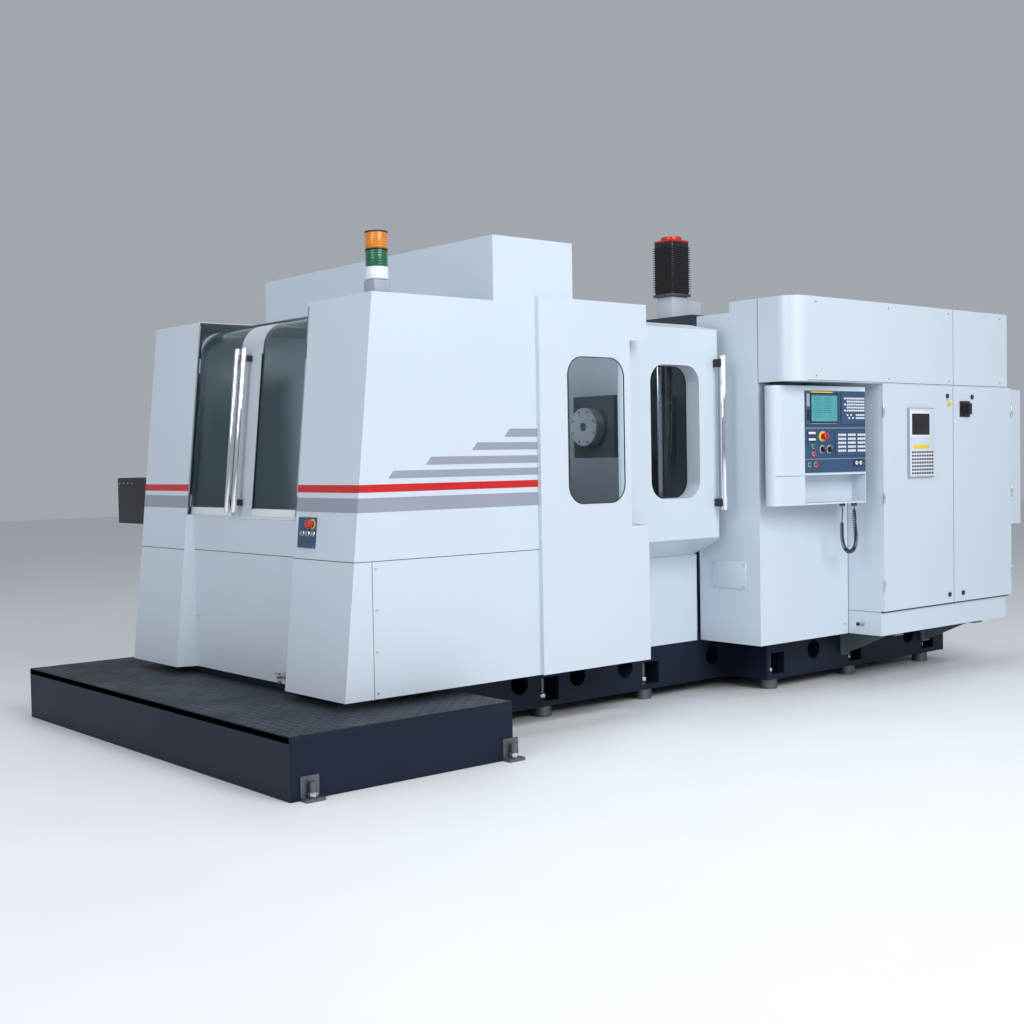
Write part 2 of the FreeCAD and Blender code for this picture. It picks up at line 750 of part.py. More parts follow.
def lower_side_wall():
    outer = rounded("WallOuter", box("WallBlock", PANEL_END, SIDE_START, "-recess_depth",
                                     "-recess_depth + flange * 2", BASE_TOP, "wall_top"),
                    size("wall_edge"), {"x": side_start(), "y": -size("recess_depth")})
    inner = rounded("WallInner", box("WallHollow", f"{PANEL_END} - 1", f"{SIDE_START} - sheet",
                                     "-recess_depth + sheet", "-recess_depth + flange * 3", f"{BASE_TOP} - 1",
                                     "wall_top - sheet"),
                    size("wall_edge") - size("sheet"),
                    {"x": side_start() - size("sheet"), "y": -size("recess_depth") + size("sheet")})
    foot = box("WallFoot", f"{PANEL_END} - 1", f"{SIDE_START} + 1", "-base_half - play",
               "-recess_depth + flange * 3", f"{BASE_TOP} - 1", f"{CASTING_TOP} + play")
    node("lower_side_wall", cut("Wall", outer, inner, foot))


def side_start():
    return size("panel_length") + size("window_length") + size("door_bay")


def column_side_cover():
    start = SIDE_START
    face = box("SideFace", start, f"{start} + sheet", "-control_front", "-recess_depth", BASE_TOP, "cabinet_top")
    upper = box("SideUpper", start, f"{start} + sheet", "-overhead_back", "-recess_depth", "cabinet_top",
                "side_cover_top")
    front = box("SideFront", start, CABINET_START, "-control_front", "-control_front + sheet", BASE_TOP,
                "cabinet_top")
    node("column_side_cover", fuse("SideCover", face, upper, front))


def overhead_box():
    start, end = SIDE_START, f"({SIDE_START} + overhead_length)"
    high = "cabinet_top + overhead_height"
    corner, thick, front = size("overhead_corner"), size("sheet"), -size("cabinet_front")
    outer = rounded("OverheadOuter", box("OverheadBlock", start, end, "-cabinet_front", "-overhead_back",
                                         "cabinet_top", high), corner, {"x": side_start(), "y": front})
    inner = rounded("OverheadInner", box("OverheadHollow", f"{start} + sheet", f"{end} - sheet",
                                         "-cabinet_front + sheet", "-overhead_back + 1", "cabinet_top + sheet",
                                         f"{high} - sheet"),
                    corner - thick, {"x": side_start() + thick, "y": front + thick})
    node("overhead_box", cut("Overhead", outer, inner))


# ---------------------------------------------------------------- electrical cabinet
DOOR_BACK = "(-cabinet_front + cabinet_door)"
DOOR_SPLIT = f"({CABINET_START} + door_split)"


def cabinet_shell():
    outer = box("CabinetOuter", CABINET_START, CABINET_END, DOOR_BACK, CABINET_BACK, "cabinet_low",
                "cabinet_top")
    inner = box("CabinetInner", f"{CABINET_START} + sheet", f"{CABINET_END} - sheet", f"{DOOR_BACK} - 1",
                f"{CABINET_BACK} - sheet", "cabinet_low + sheet", "cabinet_top - sheet")
    mullion = box("CabinetMullion", f"{DOOR_SPLIT} - flange / 2", f"{DOOR_SPLIT} + flange / 2", DOOR_BACK,
                  f"{DOOR_BACK} + flange", "cabinet_low", "cabinet_top")
    skirt_outer = box("SkirtOuter", CABINET_START, f"{CABINET_END} - skirt_short", DOOR_BACK, CABINET_BACK,
                      "cabinet_low - cabinet_skirt", "cabinet_low")
    skirt_inner = box("SkirtInner", f"{CABINET_START} + sheet", f"{CABINET_END} - skirt_short - sheet",
                      f"{DOOR_BACK} + sheet", f"{CABINET_BACK} - sheet", "cabinet_low - cabinet_skirt - 1",
                      "cabinet_low - sheet")
    node("cabinet_shell", fuse("Cabinet", cut("CabinetCase", outer, inner), mullion,
                               cut("Skirt", skirt_outer, skirt_inner)))


def cabinet_door(label, left, right):
    """A folded door pan, open towards the cabinet."""
    outer = box(label + "Outer", left, right, "-cabinet_front", DOOR_BACK, "cabinet_low + seam",
                "cabinet_top - seam")
    inner = box(label + "Inner", f"{left} + sheet", f"{right} - sheet", "-cabinet_front + sheet",
                f"{DOOR_BACK} + 1", "cabinet_low + seam + sheet", "cabinet_top - seam - sheet")
    return cut(label + "Pan", outer, inner)


def cabinet_fittings():
    node("cabinet_door_left", cabinet_door("LeftDoor", f"{CABINET_START} + seam", f"{DOOR_SPLIT} - seam / 2"))
    node("cabinet_door_right", cabinet_door("RightDoor", f"{DOOR_SPLIT} + seam / 2", f"{CABINET_END} - seam"))
    brackets = []
    for number, offset in enumerate((140, 1000)):
        left = f"{CABINET_START} + {offset}"
        top = box(f"BracketTop{number}", left, f"{left} + bracket_width", DOOR_BACK, "-base_wide",
                  f"{BASE_TOP} - bracket_thick", BASE_TOP)
        back = box(f"BracketBack{number}", left, f"{left} + bracket_width", "-base_wide - bracket_thick",
                   "-base_wide", f"{BASE_TOP} - 2 * bracket_width", BASE_TOP)
        web = prism(f"BracketWeb{number}", "x", [("-base_wide", f"{BASE_TOP} - 2 * bracket_width"),
                                                 ("-base_wide", BASE_TOP),
                                                 (f"{DOOR_BACK} + flange", BASE_TOP)],
                    f"{left} + bracket_width / 2 - plate", f"{left} + bracket_width / 2 + plate")
        brackets.append(fuse(f"Bracket{number}", top, back, web))
    node("cabinet_brackets", *brackets)
    node("heat_exchanger", box("Exchanger", CABINET_END, RIGHT_END, "-cabinet_front + exchanger_setback",
                               "-cabinet_front + exchanger_setback + exchanger_depth", "exchanger_low",
                               "exchanger_low + exchanger_height"))
    left = f"{CABINET_START} + cooler_along"
    node("cabinet_cooler", box("Cooler", left, f"{left} + cooler_width", "-cabinet_front - cooler_proud",
                               "-cabinet_front", "cooler_low", "cooler_low + cooler_height"))
    middle = f"{DOOR_SPLIT} + switch_along"
    disc = rod("SwitchDisc", "y", "switch_radius", "-cabinet_front - switch_depth / 2", "-cabinet_front", middle,
               "switch_height")
    grip = box("SwitchGrip", f"{middle} - switch_radius / 3", f"{middle} + switch_radius / 3",
               "-cabinet_front - switch_depth", "-cabinet_front - switch_depth / 2",
               "switch_height - switch_radius * 0.9", "switch_height + switch_radius * 0.9")
    node("main_switch_knob", fuse("Switch", disc, grip))


# ---------------------------------------------------------------- operator's pendant
def pendant_node(name, *pieces):
    """A node laid out about the swivel's axis and turned with the pendant."""
    made = doc.addObject("Part::Compound", name.title().replace("_", "") + "Turned")
    made.Links = list(pieces)
    turn = FreeCAD.Rotation(FreeCAD.Vector(0, 0, 1), -size("pendant_turn"))
    made.Placement = FreeCAD.Placement(FreeCAD.Vector(), turn)
    bind(made, x="pendant_along", y="-pendant_across")
    return node(name, made)


def pendant_housing():
    face, back = "-pendant_half", "pendant_half"
    column = box("PendantColumnBlock", "-pendant_left", "pendant_column", face, back, "pendant_low", "pendant_top")
    left, half = -size("pendant_left"), size("pendant_half")
    column = rounded("PendantColumn", column, size("pendant_round"), {"x": left, "y": -half}, {"x": left, "y": half})
    head = box("PendantHead", "pendant_column", "pendant_right", face, back, "pendant_split", "pendant_top")
    bin_outer = box("BinOuter", "pendant_column", "pendant_right", face, back, "pendant_low", "pendant_split")
    bin_inner = box("BinInner", "pendant_column", "pendant_right - pendant_wall", f"{face} - 1",
                    f"{back} - pendant_wall", "pendant_low + pendant_wall", "pendant_split")
    bore = rod("HousingBore", "y", "estop_radius / 2 + play", f"{face} - 1", f"{face} + estop_travel + seam",
               ESTOP[0], ESTOP[1])
    shell = cut("PendantBored", fuse("PendantShell", column, head, cut("Bin", bin_outer, bin_inner)), bore)
    glands = [rod(f"Gland{number}", "z", "gland_radius", "pendant_low - gland_length", "pendant_low", along, "0")
              for number, along in enumerate(GLANDS)]
    pendant_node("pendant_housing", shell, *glands)


GLANDS = ("pendant_right - 42", "pendant_right - 140")  # above the two ends of the cord


def pendant_controls():
    front = "-pendant_half"
    proud = f"{front} - keypad_proud"
    plate = box("PanelPlate", "pendant_column", "pendant_right - pendant_wall", proud, front, "keypad_low",
                "keypad_high")
    bore = rod("PanelBore", "y", "estop_radius / 2 + play", f"{proud} - 1", f"{front} + 1", ESTOP[0], ESTOP[1])
    pendant_node("pendant_panel", cut("Panel", plate, bore))
    stem = rod("EstopStem", "y", "estop_radius / 2", f"{proud} - estop_height / 2", proud, ESTOP[0], ESTOP[1])
    cap = rod("EstopCap", "y", "estop_radius", f"{proud} - estop_height", f"{proud} - estop_height / 2",
              ESTOP[0], ESTOP[1])
    pendant_node("pendant_estop", fuse("Estop", stem, cap))
    for name, (along, height) in DIALS.items():
        body = rod(name.title().replace("_", "") + "Body", "y", "dial_radius", f"{proud} - dial_height",
                   f"{proud} - play", along, height)
        pendant_node(name, body)
    swivel = rod("Swivel", "z", "swivel_radius", "pendant_top", "cabinet_top", "0", "0")
    pendant_node("pendant_swivel", swivel)


ESTOP = ("pendant_column + estop_along", "estop_high")
DIALS = {"feed_dial": ("pendant_column + dial_along", "dial_high"),
         "spindle_dial": ("pendant_column + dial_along + dial_pitch", "dial_high")}

# the curly cord's route in the pendant's frame: along its width, across, height
CORD_ROUTE = [(593, 0, 1068), (593, 0, 1020), (603, 5, 962), (608, 2, 908), (605, -3, 860), (587, -6, 820),
              (551, -5, 801), (514, -2, 818), (498, 3, 857), (495, 5, 904), (492, 3, 958), (495, 0, 1012),
              (495, 0, 1068)]


def rounded_route(points):
    """Straight runs joined by tangent arcs, each as large as its two runs allow."""
    corners = [FreeCAD.Vector(*point) for point in points]
    edges, start, radii = [], corners[0], []
    for before, corner, after in zip(corners, corners[1:], corners[2:]):
        to_before, to_after = (before - corner), (after - corner)
        shorter = min(to_before.Length, to_after.Length)
        to_before.normalize()
        to_after.normalize()
        half_turn = (math.pi - to_before.getAngle(to_after)) / 2
        reach = 0.45 * shorter
        radius = reach / math.tan(half_turn)
        radii.append(radius)
        first, last = corner + to_before * reach, corner + to_after * reach
        inward = to_before + to_after
        inward.normalize()
        middle = corner + inward * (radius / math.cos(half_turn) - radius)
        edges.append(Part.LineSegment(start, first).toShape())
        edges.append(Part.Arc(first, middle, last).toShape())
        start = last
    edges.append(Part.LineSegment(start, corners[-1]).toShape())
    print("cord radii:", [round(radius) for radius in radii])
    return Part.Wire(edges)


def curly_cord():
    route = rounded_route(CORD_ROUTE)
    ring = Part.Wire(Part.makeCircle(size("cord_radius"), FreeCAD.Vector(*CORD_ROUTE[0]), route.Edges[0].tangentAt(0)))
    tube = route.makePipeShell([ring], True, False)
    expected = math.pi * size("cord_radius") ** 2 * route.Length
    print(f"cord: {route.Length:.1f} mm long, volume {tube.Volume / expected:.4f} of section times length")
    pendant_node("curly_cord", solid("Cord", tube))


# ---------------------------------------------------------------- setup operator box
def on_pillar(height, across, proud):
    """A point on the leaning face at a height, moved out along the face's normal."""
    lean = size("lean")
    along = size("lean_datum") - (size("cover_top") - height) * lean
    slope = math.hypot(1, lean)
    return FreeCAD.Vector(along - proud / slope, across, height + proud * lean / slope)


def pillar_rod(name, radius, height, across, low, high):
    start, end = on_pillar(height, across, low), on_pillar(height, across, high)
    return solid(name, Part.makeCylinder(radius, high - low, start, end - start))


def setup_box():
    high = "setup_low + setup_tall"
    points = [(f"{lean_at('setup_low')} - setup_depth", "setup_low"), (lean_at("setup_low"), "setup_low"),
              (lean_at(high), high), (f"{lean_at(high)} - setup_depth", high)]
    shell = prism("SetupShell", "y", points, "-setup_near", "-setup_near + setup_width")
    proud = size("setup_depth") * math.cos(math.atan(size("lean")))
    middle = -size("setup_near") + size("setup_stop_in")
    high_row = size("setup_low") + size("setup_stop_high")
    low_row = size("setup_low") + size("setup_button_high")
    stem = pillar_rod("SetupStem", size("estop_radius") / 2, high_row, middle, proud,
                      proud + size("estop_height") / 2)
    cap = pillar_rod("SetupCap", size("estop_radius"), high_row, middle, proud + size("estop_height") / 2,
                     proud + size("estop_height"))
    node("setup_estop", fuse("SetupStop", stem, cap))
    bores = [pillar_rod("SetupStopBore", size("estop_radius") / 2 + size("play"), high_row, middle,
                        proud - size("estop_travel") - size("seam"), proud + 1)]
    for number in (1, 2, 3):
        across = -size("setup_near") + size("setup_button_in") + (3 - number) * size("setup_button_pitch")
        bores.append(pillar_rod(f"ButtonBore{number}", size("button_radius") + size("play"), low_row, across,
                                proud - size("button_travel") - size("seam"), proud + 1))
        node(f"setup_button_{number}", pillar_rod(f"SetupButton{number}", size("button_radius"), low_row, across,
                                                  proud, proud + size("button_height")))
    node("setup_box", cut("SetupBored", shell, *bores))


# ---------------------------------------------------------------- pallet changer and table
PALLET_LOW = "(pallet_top - pallet_thick)"


def pallet(name, label, along):
    half = "pallet_side / 2"
    block = box(label + "Block", f"{along} - {half}", f"{along} + {half}", f"-{half}", half, PALLET_LOW,
                "pallet_top")
    tools = []
    for number in range(-2, 3):
        across = f"{number} * pallet_side / 6"
        tools.append(box(f"{label}Slot{number + 2}", f"{along} - {half} - 1", f"{along} + {half} + 1",
                         f"{across} - plate", f"{across} + plate", "pallet_top - pallet_thick / 4",
                         "pallet_top + 1"))
    node(name, cut(label, block, *tools))


def pallet_changer():
    along = "changer_along"
    node("changer_pedestal", cut("Pedestal", rod("PedestalBody", "z", "pedestal_radius", CASTING_TOP,
                                                 "pedestal_top", along, "0"),
                                 rod("PedestalBore", "z", "post_shaft + play", f"{CASTING_TOP} + flange",
                                     "pedestal_top + 1", along, "0")))
    shaft = rod("PostShaft", "z", "post_shaft", f"{CASTING_TOP} + flange", "pedestal_top + seam", along, "0")
    head = rod("PostHead", "z", "post_radius", "pedestal_top", "post_top", along, "0")
    node("changer_lift_post", fuse("LiftPost", shaft, head))
    low, high = f"({PALLET_LOW} - arm_thick)", f"({PALLET_LOW} - play)"
    hub = box("ArmHub", f"{along} - hub_half", f"{along} + hub_half", "-prong_in - prong_width",
              "prong_in + prong_width", low, high)
    neck = rod("ArmNeck", "z", "post_radius", "post_top", low, along, "0")
    prongs = []
    for side in (-1, 1):
        inner, outer = f"{side} * prong_in", f"{side} * (prong_in + prong_width)"
        y_low, y_high = (outer, inner) if side < 0 else (inner, outer)
        prongs.append(box(f"Prong{side + 1}", f"{along} - prong_reach", f"{along} + prong_reach", y_low, y_high,
                          low, high))
    node("changer_arm", fuse("ChangerArm", hub, neck, *prongs))
    half = "partition_thick / 2"
    foot = box("PartitionFoot", f"{along} - {half}", f"{along} + {half}", "-prong_in - prong_width",
               "prong_in + prong_width", high, "pallet_top")
    screen = box("PartitionScreen", f"{along} - {half}", f"{along} + {half}", "-partition_half",
                 "partition_half", "pallet_top", "partition_top")
    node("changer_partition", fuse("Partition", foot, screen))
    pallet("setup_pallet", "SetupPallet", f"({along} - pallet_offset)")


def table():
    rails = []
    for side in (-1, 1):
        across = f"{side} * table_rail"
        rails.append(box(f"TableRail{side + 1}", "bed_start + flange", "bed_end - flange",
                         f"{across} - rail_width / 2", f"{across} + rail_width / 2", "bed_top",
                         "bed_top + rail_tall"))
    for number, along in enumerate(("column_rail_near", "column_rail_far")):
        rails.append(box(f"ColumnRail{number}", f"{along} - rail_width / 2", f"{along} + rail_width / 2",
                         "-column_bed_half", "column_bed_half", "column_bed_top",
                         "column_bed_top + rail_tall"))
    node("linear_rails", *rails)
    half = "saddle_long / 2"
    low = "(bed_top + rail_tall + play)"
    slab = box("SaddleSlab", f"table_along - {half}", f"table_along + {half}", "-saddle_half", "saddle_half",
               low, "saddle_top - flange")
    ring = rod("SaddleRing", "z", "table_radius", "saddle_top - flange", "saddle_top", "table_along", "0")
    node("table_saddle", fuse("Saddle", slab, ring))
    node("rotary_table", rod("RotaryTable", "z", "table_radius", "saddle_top", PALLET_LOW, "table_along", "0"))
    pallet("machine_pallet", "MachinePallet", "table_along")


# ---------------------------------------------------------------- column, head and spindle
def column():
    low = "(column_bed_top + rail_tall + play)"
    end = "column_start + column_length"
    block = box("ColumnBlock", "column_start", end, "-column_half", "column_half", low, "column_top")
    slot = box("ColumnSlot", "column_start - 1", "column_start + slot_length", "-slot_half", "slot_half",
               "slot_low", "slot_high")
    journal = rod("ColumnJournal", "z", "screw_radius + screw_play", "slot_high - 1",
                  "column_top - flange / 2", "screw_along", "0")
    node("column", cut("Column", block, slot, journal))
    screw = rod("Screw", "z", "screw_radius", "slot_low + screw_play", "column_top - flange", "screw_along", "0")
    node("head_ball_screw", screw)
    lantern = box("MotorLantern", "screw_along - lantern_half", "screw_along + lantern_half", "-lantern_half",
                  "lantern_half", "column_top", "motor_low")
    body = box("MotorBody", "screw_along - motor_half", "screw_along + motor_half", "-motor_half", "motor_half",
               "motor_low", "motor_low + motor_body")
    cap = rod("MotorCap", "z", "motor_half * 0.8", "motor_low + motor_body", "motor_low + motor_body + motor_cap",
              "screw_along", "0")
    plug = box("MotorPlug", "screw_along + lantern_half", "screw_along + lantern_half + motor_half * 2",
               "-lantern_half / 2", "lantern_half / 2", "column_top", "column_top + motor_half * 1.5")
    node("head_servo_motor", lantern, body, cap, plug)


def spindle_head():
    low, high = "spindle_height - head_tall / 2", "spindle_height + head_tall / 2"
    block = box("HeadBlock", "head_start", "column_start - play", "-head_half", "head_half", low, high)
    nut = box("HeadNut", "column_start - flange", "column_start + slot_length - flange", "-slot_half + flange / 2",
              "slot_half - flange / 2", "spindle_height - head_half / 2", "spindle_height + head_half / 2")
    bore = rod("HeadBore", "x", "spindle_bore + play", "head_start - 1", "column_start - head_half", "0",
               "spindle_height")
    passage = rod("NutBore", "z", "screw_radius + screw_play", low, high, "screw_along", "0")
    node("spindle_head", cut("Head", fuse("HeadWhole", block, nut), bore, passage))
    nose = rod("Nose", "x", "nose_radius", "nose_start", "nose_start + nose_thick", "0", "spindle_height")
    shaft = rod("SpindleShaft", "x", "spindle_bore", "nose_start + nose_thick", "column_start - head_half - seam",
                "0", "spindle_height")
    taper = rod("Taper", "x", "taper_radius", "nose_start - 1", "nose_start + nose_thick", "0", "spindle_height")
    node("spindle", cut("Spindle", fuse("SpindleWhole", nose, shaft), taper))
    plates = []
    for side in (-1, 1):
        inner, outer = f"{side} * way_cover_inner", f"{side} * column_bed_half"
        y_low, y_high = (outer, inner) if side < 0 else (inner, outer)
        plates.append(box(f"WayCover{side + 1}", "way_cover_start", "way_cover_start + way_cover_thick", y_low,
                          y_high, CASTING_TOP, "cover_top - flange"))
    node("column_way_cover", *plates)


# ---------------------------------------------------------------- tool changer
def tool_changer():
    start, across, height = "magazine_start", "magazine_across", "magazine_height"
    end = f"{start} + magazine_thick"
    disc = rod("MagazineDisc", "x", "magazine_radius", start, end, across, height)
    pieces = [disc]
    count = int(size("holder_count"))
    for number in range(count):
        turn = 360 * number / count
        circle = "(magazine_radius + holder_radius - holder_sink)"
        pieces.append(rod(f"Holder{number}", "x", "holder_radius", f"{start} - holder_long / 2",
                          f"{start} + holder_long / 2", f"{across} + {circle} * cos({turn})",
                          f"{height} + {circle} * sin({turn})"))
    node("magazine_disc", fuse("Magazine", *pieces))
    arm = box("ArmPlate", "arm_start", "arm_start + arm_plate", f"arm_across - arm_half_wide",
              "arm_across + arm_half_wide", f"{height} - arm_half_long", f"{height} + arm_half_long")
    boss = rod("ArmBoss", "x", "arm_half_wide", "arm_start + arm_plate", "frame_start - play", "arm_across", height)
    node("tool_change_arm", fuse("ToolArm", arm, boss))
    wall = "half_width - sheet"
    plate = box("FramePlate", "frame_start", "frame_start + frame_thick", "arm_across - arm_half_wide", wall,
                f"{height} - arm_half_wide * 2", f"{height} + arm_half_wide * 2")
    boss = rod("FrameBoss", "x", "arm_half_wide", f"{end} + play", "frame_start", across, height)
    node("magazine_frame", fuse("MagazineFrame", plate, boss))


# ---------------------------------------------------------------- chip conveyor
def chip_conveyor():
    front, back = "half_width + conveyor_gap", "half_width + conveyor_gap + trough_depth"
    outline = [("trough_end", "trough_low"), ("trough_end", "trough_top"),
               ("head_right + head_high - head_low + trough_depth", "trough_top"), ("head_right", "head_high"),
               ("head_left", "head_high"), ("head_left", "head_low"),
               ("head_right - seam", "head_low"), ("head_right + head_high - head_low", "trough_low")]
    trough = prism("Trough", "y", outline, front, back)
    head = box("ConveyorHead", "head_left", "head_right", f"{front} + trough_depth", "conveyor_back",
               "head_low", "head_high")
    chute = box("ConveyorChute", "head_left + flange", "head_left + flange * 6", f"{front} + flange", back,
                "head_low - flange * 1.6", "head_low")
    foot = box("ConveyorFoot", "trough_end - flange * 3", "trough_end - flange", f"{front} + flange", back, "0",
               "trough_low")
    leg = box("ConveyorLeg", "head_left + flange * 8", "head_left + flange * 10", "step_far + flange", back, "0",
              "head_low")
    inlet = box("ConveyorInlet", "trough_end - inlet_length", "trough_end - flange", "base_half + play", front,
                "foot_height", "trough_top")
    node("chip_conveyor", fuse("Conveyor", trough, head, chute, foot, leg, inlet))


def check_everything():
    """Stop before anything is written if an object has failed or a sub-part is not sound."""
    for made in doc.Objects:
        if any(state in ("Invalid", "Error") for state in made.State):
            raise RuntimeError(f"{made.Name} ({made.Label}) failed: {made.State}")
    for made in nodes:
        if made.Shape.isNull() or not made.Shape.isValid() or not made.Shape.Solids:
            raise RuntimeError(f"{made.Label} has no sound shape")


BUILDERS = (base_casting, leveling_feet, step, side_covers, setup_aprons, setup_roof, hood_box, signal_tower,
            window_panel, operator_door, lower_side_wall, column_side_cover, overhead_box, cabinet_shell,
            cabinet_fittings, pendant_housing, pendant_controls, curly_cord, setup_box, pallet_changer, table,
            column, spindle_head, tool_changer, chip_conveyor)


def main():
    for builder in BUILDERS:
        builder()
    setup_door("Near", -1)
    setup_door("Far", 1)
    doc.recompute()
    check_everything()
    os.makedirs("parts", exist_ok=True)
    for made in nodes:
        made.Shape.exportStep(os.path.join("parts", made.Label + ".step"))
    whole = Part.makeCompound([made.Shape for made in nodes]).BoundBox
    print(f"{len(nodes)} nodes, {whole.XLength:.1f} x {whole.YLength:.1f} x {whole.ZLength:.1f} mm")
    print(f"centre {whole.Center.x:.3f}, {whole.Center.y:.3f}, lowest {whole.ZMin:.3f}")


main()
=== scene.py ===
import json
import math

import bpy
from mathutils import Euler, Matrix, Vector


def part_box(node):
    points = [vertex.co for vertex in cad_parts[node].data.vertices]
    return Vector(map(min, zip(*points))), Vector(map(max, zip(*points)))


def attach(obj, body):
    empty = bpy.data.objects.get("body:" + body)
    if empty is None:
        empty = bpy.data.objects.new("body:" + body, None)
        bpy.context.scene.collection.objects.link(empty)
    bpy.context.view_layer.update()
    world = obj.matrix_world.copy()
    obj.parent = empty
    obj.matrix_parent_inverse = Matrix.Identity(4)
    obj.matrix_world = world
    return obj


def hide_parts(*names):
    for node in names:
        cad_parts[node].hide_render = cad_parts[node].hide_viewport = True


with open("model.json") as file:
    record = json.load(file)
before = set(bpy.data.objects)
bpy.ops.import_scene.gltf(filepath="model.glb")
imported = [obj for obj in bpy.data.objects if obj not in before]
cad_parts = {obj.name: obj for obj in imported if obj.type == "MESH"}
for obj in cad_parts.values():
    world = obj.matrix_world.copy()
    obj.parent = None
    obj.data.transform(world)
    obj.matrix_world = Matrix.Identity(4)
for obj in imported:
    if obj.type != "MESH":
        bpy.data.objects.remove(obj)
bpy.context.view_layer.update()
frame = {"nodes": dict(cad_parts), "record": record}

bl_info = {
    "name": "Machining centre finish",
    "version": (1, 0, 0),
    "blender": (4, 5, 0),
    "location": "View3D > Sidebar > Machine",
    "description": "Finishes, trims, glazing, controls and fittings of a horizontal machining centre",
    "category": "Object",
}

MACHINE = "machine"

# the layout's datums in the machine's own frame: the pillars' front edge and the centre line
ROOF_SETBACK = 0.028
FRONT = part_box("setup_roof")[0].x - ROOF_SETBACK
CENTRE = (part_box("column")[0].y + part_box("column")[1].y) / 2


# ---------------------------------------------------------------- properties
class FinishSettings(bpy.types.PropertyGroup):
    body_colour: bpy.props.FloatVectorProperty(
        name="Body paint", description="Colour of the covers", subtype="COLOR", size=3,
        default=(0.60, 0.68, 0.76), min=0, max=1)
    base_colour: bpy.props.FloatVectorProperty(
        name="Base paint", description="Colour of the base casting and the step", subtype="COLOR", size=3,
        default=(0.0085, 0.014, 0.030), min=0, max=1)
    stripe_colour: bpy.props.FloatVectorProperty(
        name="Stripe", description="Colour of the bright stripe", subtype="COLOR", size=3,
        default=(0.58, 0.008, 0.008), min=0, max=1)
    panel_colour: bpy.props.FloatVectorProperty(
        name="Control panel", description="Colour of the pendant's face", subtype="COLOR", size=3,
        default=(0.030, 0.080, 0.160), min=0, max=1)
    film: bpy.props.FloatProperty(
        name="Trim thickness", description="How far stripes and seams stand proud", default=0.0008,
        min=0.0002, max=0.003, subtype="DISTANCE", unit="LENGTH")


class CordSettings(bpy.types.PropertyGroup):
    coil_radius: bpy.props.FloatProperty(
        name="Coil radius", description="From the route to the middle of the wire", default=0.0098,
        min=0.004, max=0.012, subtype="DISTANCE", unit="LENGTH")
    wire_radius: bpy.props.FloatProperty(
        name="Wire radius", description="Half the thickness of the coiled wire", default=0.0029,
        min=0.001, max=0.005, subtype="DISTANCE", unit="LENGTH")
    turns: bpy.props.IntProperty(
        name="Turns", description="Turns of the curly part", default=47, min=20, max=90)
    steps: bpy.props.IntProperty(
        name="Steps", description="Points in each turn", default=14, min=12, max=24)


class StageSettings(bpy.types.PropertyGroup):
    floor_colour: bpy.props.FloatVectorProperty(
        name="Floor", description="Colour of the floor", subtype="COLOR", size=3,
        default=(0.80, 0.82, 0.84), min=0, max=1)
    lens: bpy.props.FloatProperty(
        name="Lens", description="Focal length of the camera in millimetres", default=49.10, min=20, max=200)
    yaw: bpy.props.FloatProperty(
        name="Yaw", description="Heading of the camera from +Y towards +X", default=math.radians(40.2126),
        subtype="ANGLE", unit="ROTATION")
    pitch: bpy.props.FloatProperty(
        name="Pitch", description="How far the camera looks down", default=math.radians(2.1321),
        subtype="ANGLE", unit="ROTATION")
    roll: bpy.props.FloatProperty(
        name="Roll", description="Roll of the camera", default=math.radians(1.0175),
        subtype="ANGLE", unit="ROTATION")
    eye: bpy.props.FloatVectorProperty(
        name="Eye", description="Camera's place from the machine's datums, in metres", size=3,
        subtype="TRANSLATION", default=(-3.563, -6.260, 1.370))


def settings(name):
    """One group of the scene's settings."""
    return getattr(bpy.context.scene, name)


# ---------------------------------------------------------------- shader groups and finishes
def surface_group():
    """Slow colour variation, fine grain and a roughness that follows the variation, as masks that any finish can
    use.
    """
    group = bpy.data.node_groups.get("surface_character")
    if group:
        return group
    group = bpy.data.node_groups.new("surface_character", "ShaderNodeTree")
    for name, default in (("Grain Scale", 400.0), ("Cloud Scale", 1.6), ("Rough Low", 0.3), ("Rough High", 0.4),
                          ("Stretch", 1.0)):
        socket = group.interface.new_socket(name=name, in_out="INPUT", socket_type="NodeSocketFloat")
        socket.default_value = default
    for name, kind in (("Cloud", "NodeSocketFloat"), ("Roughness", "NodeSocketFloat"),
                       ("Height", "NodeSocketFloat")):
        group.interface.new_socket(name=name, in_out="OUTPUT", socket_type=kind)
    add, link = group.nodes.new, group.links.new
    source, result = add("NodeGroupInput"), add("NodeGroupOutput")
    coordinates, stretch = add("ShaderNodeTexCoord"), add("ShaderNodeCombineXYZ")
    stretch.inputs["X"].default_value = 1
    stretch.inputs["Y"].default_value = 1
    scaled = add("ShaderNodeVectorMath")
    scaled.operation = "MULTIPLY"
    link(source.outputs["Stretch"], stretch.inputs["Z"])
    link(coordinates.outputs["Object"], scaled.inputs[0])
    link(stretch.outputs[0], scaled.inputs[1])
    grain, cloud = add("ShaderNodeTexNoise"), add("ShaderNodeTexNoise")
    link(scaled.outputs[0], grain.inputs["Vector"])
    link(source.outputs["Grain Scale"], grain.inputs["Scale"])
    link(coordinates.outputs["Object"], cloud.inputs["Vector"])
    link(source.outputs["Cloud Scale"], cloud.inputs["Scale"])
    cloud.inputs["Detail"].default_value = 5
    rough = add("ShaderNodeMapRange")
    link(cloud.outputs["Fac"], rough.inputs["Value"])
    rough.inputs["From Min"].default_value = 0.3
    rough.inputs["From Max"].default_value = 0.7
    link(source.outputs["Rough Low"], rough.inputs["To Min"])
    link(source.outputs["Rough High"], rough.inputs["To Max"])
    link(cloud.outputs["Fac"], result.inputs["Cloud"])
    link(rough.outputs["Result"], result.inputs["Roughness"])
    link(grain.outputs["Fac"], result.inputs["Height"])
    return group


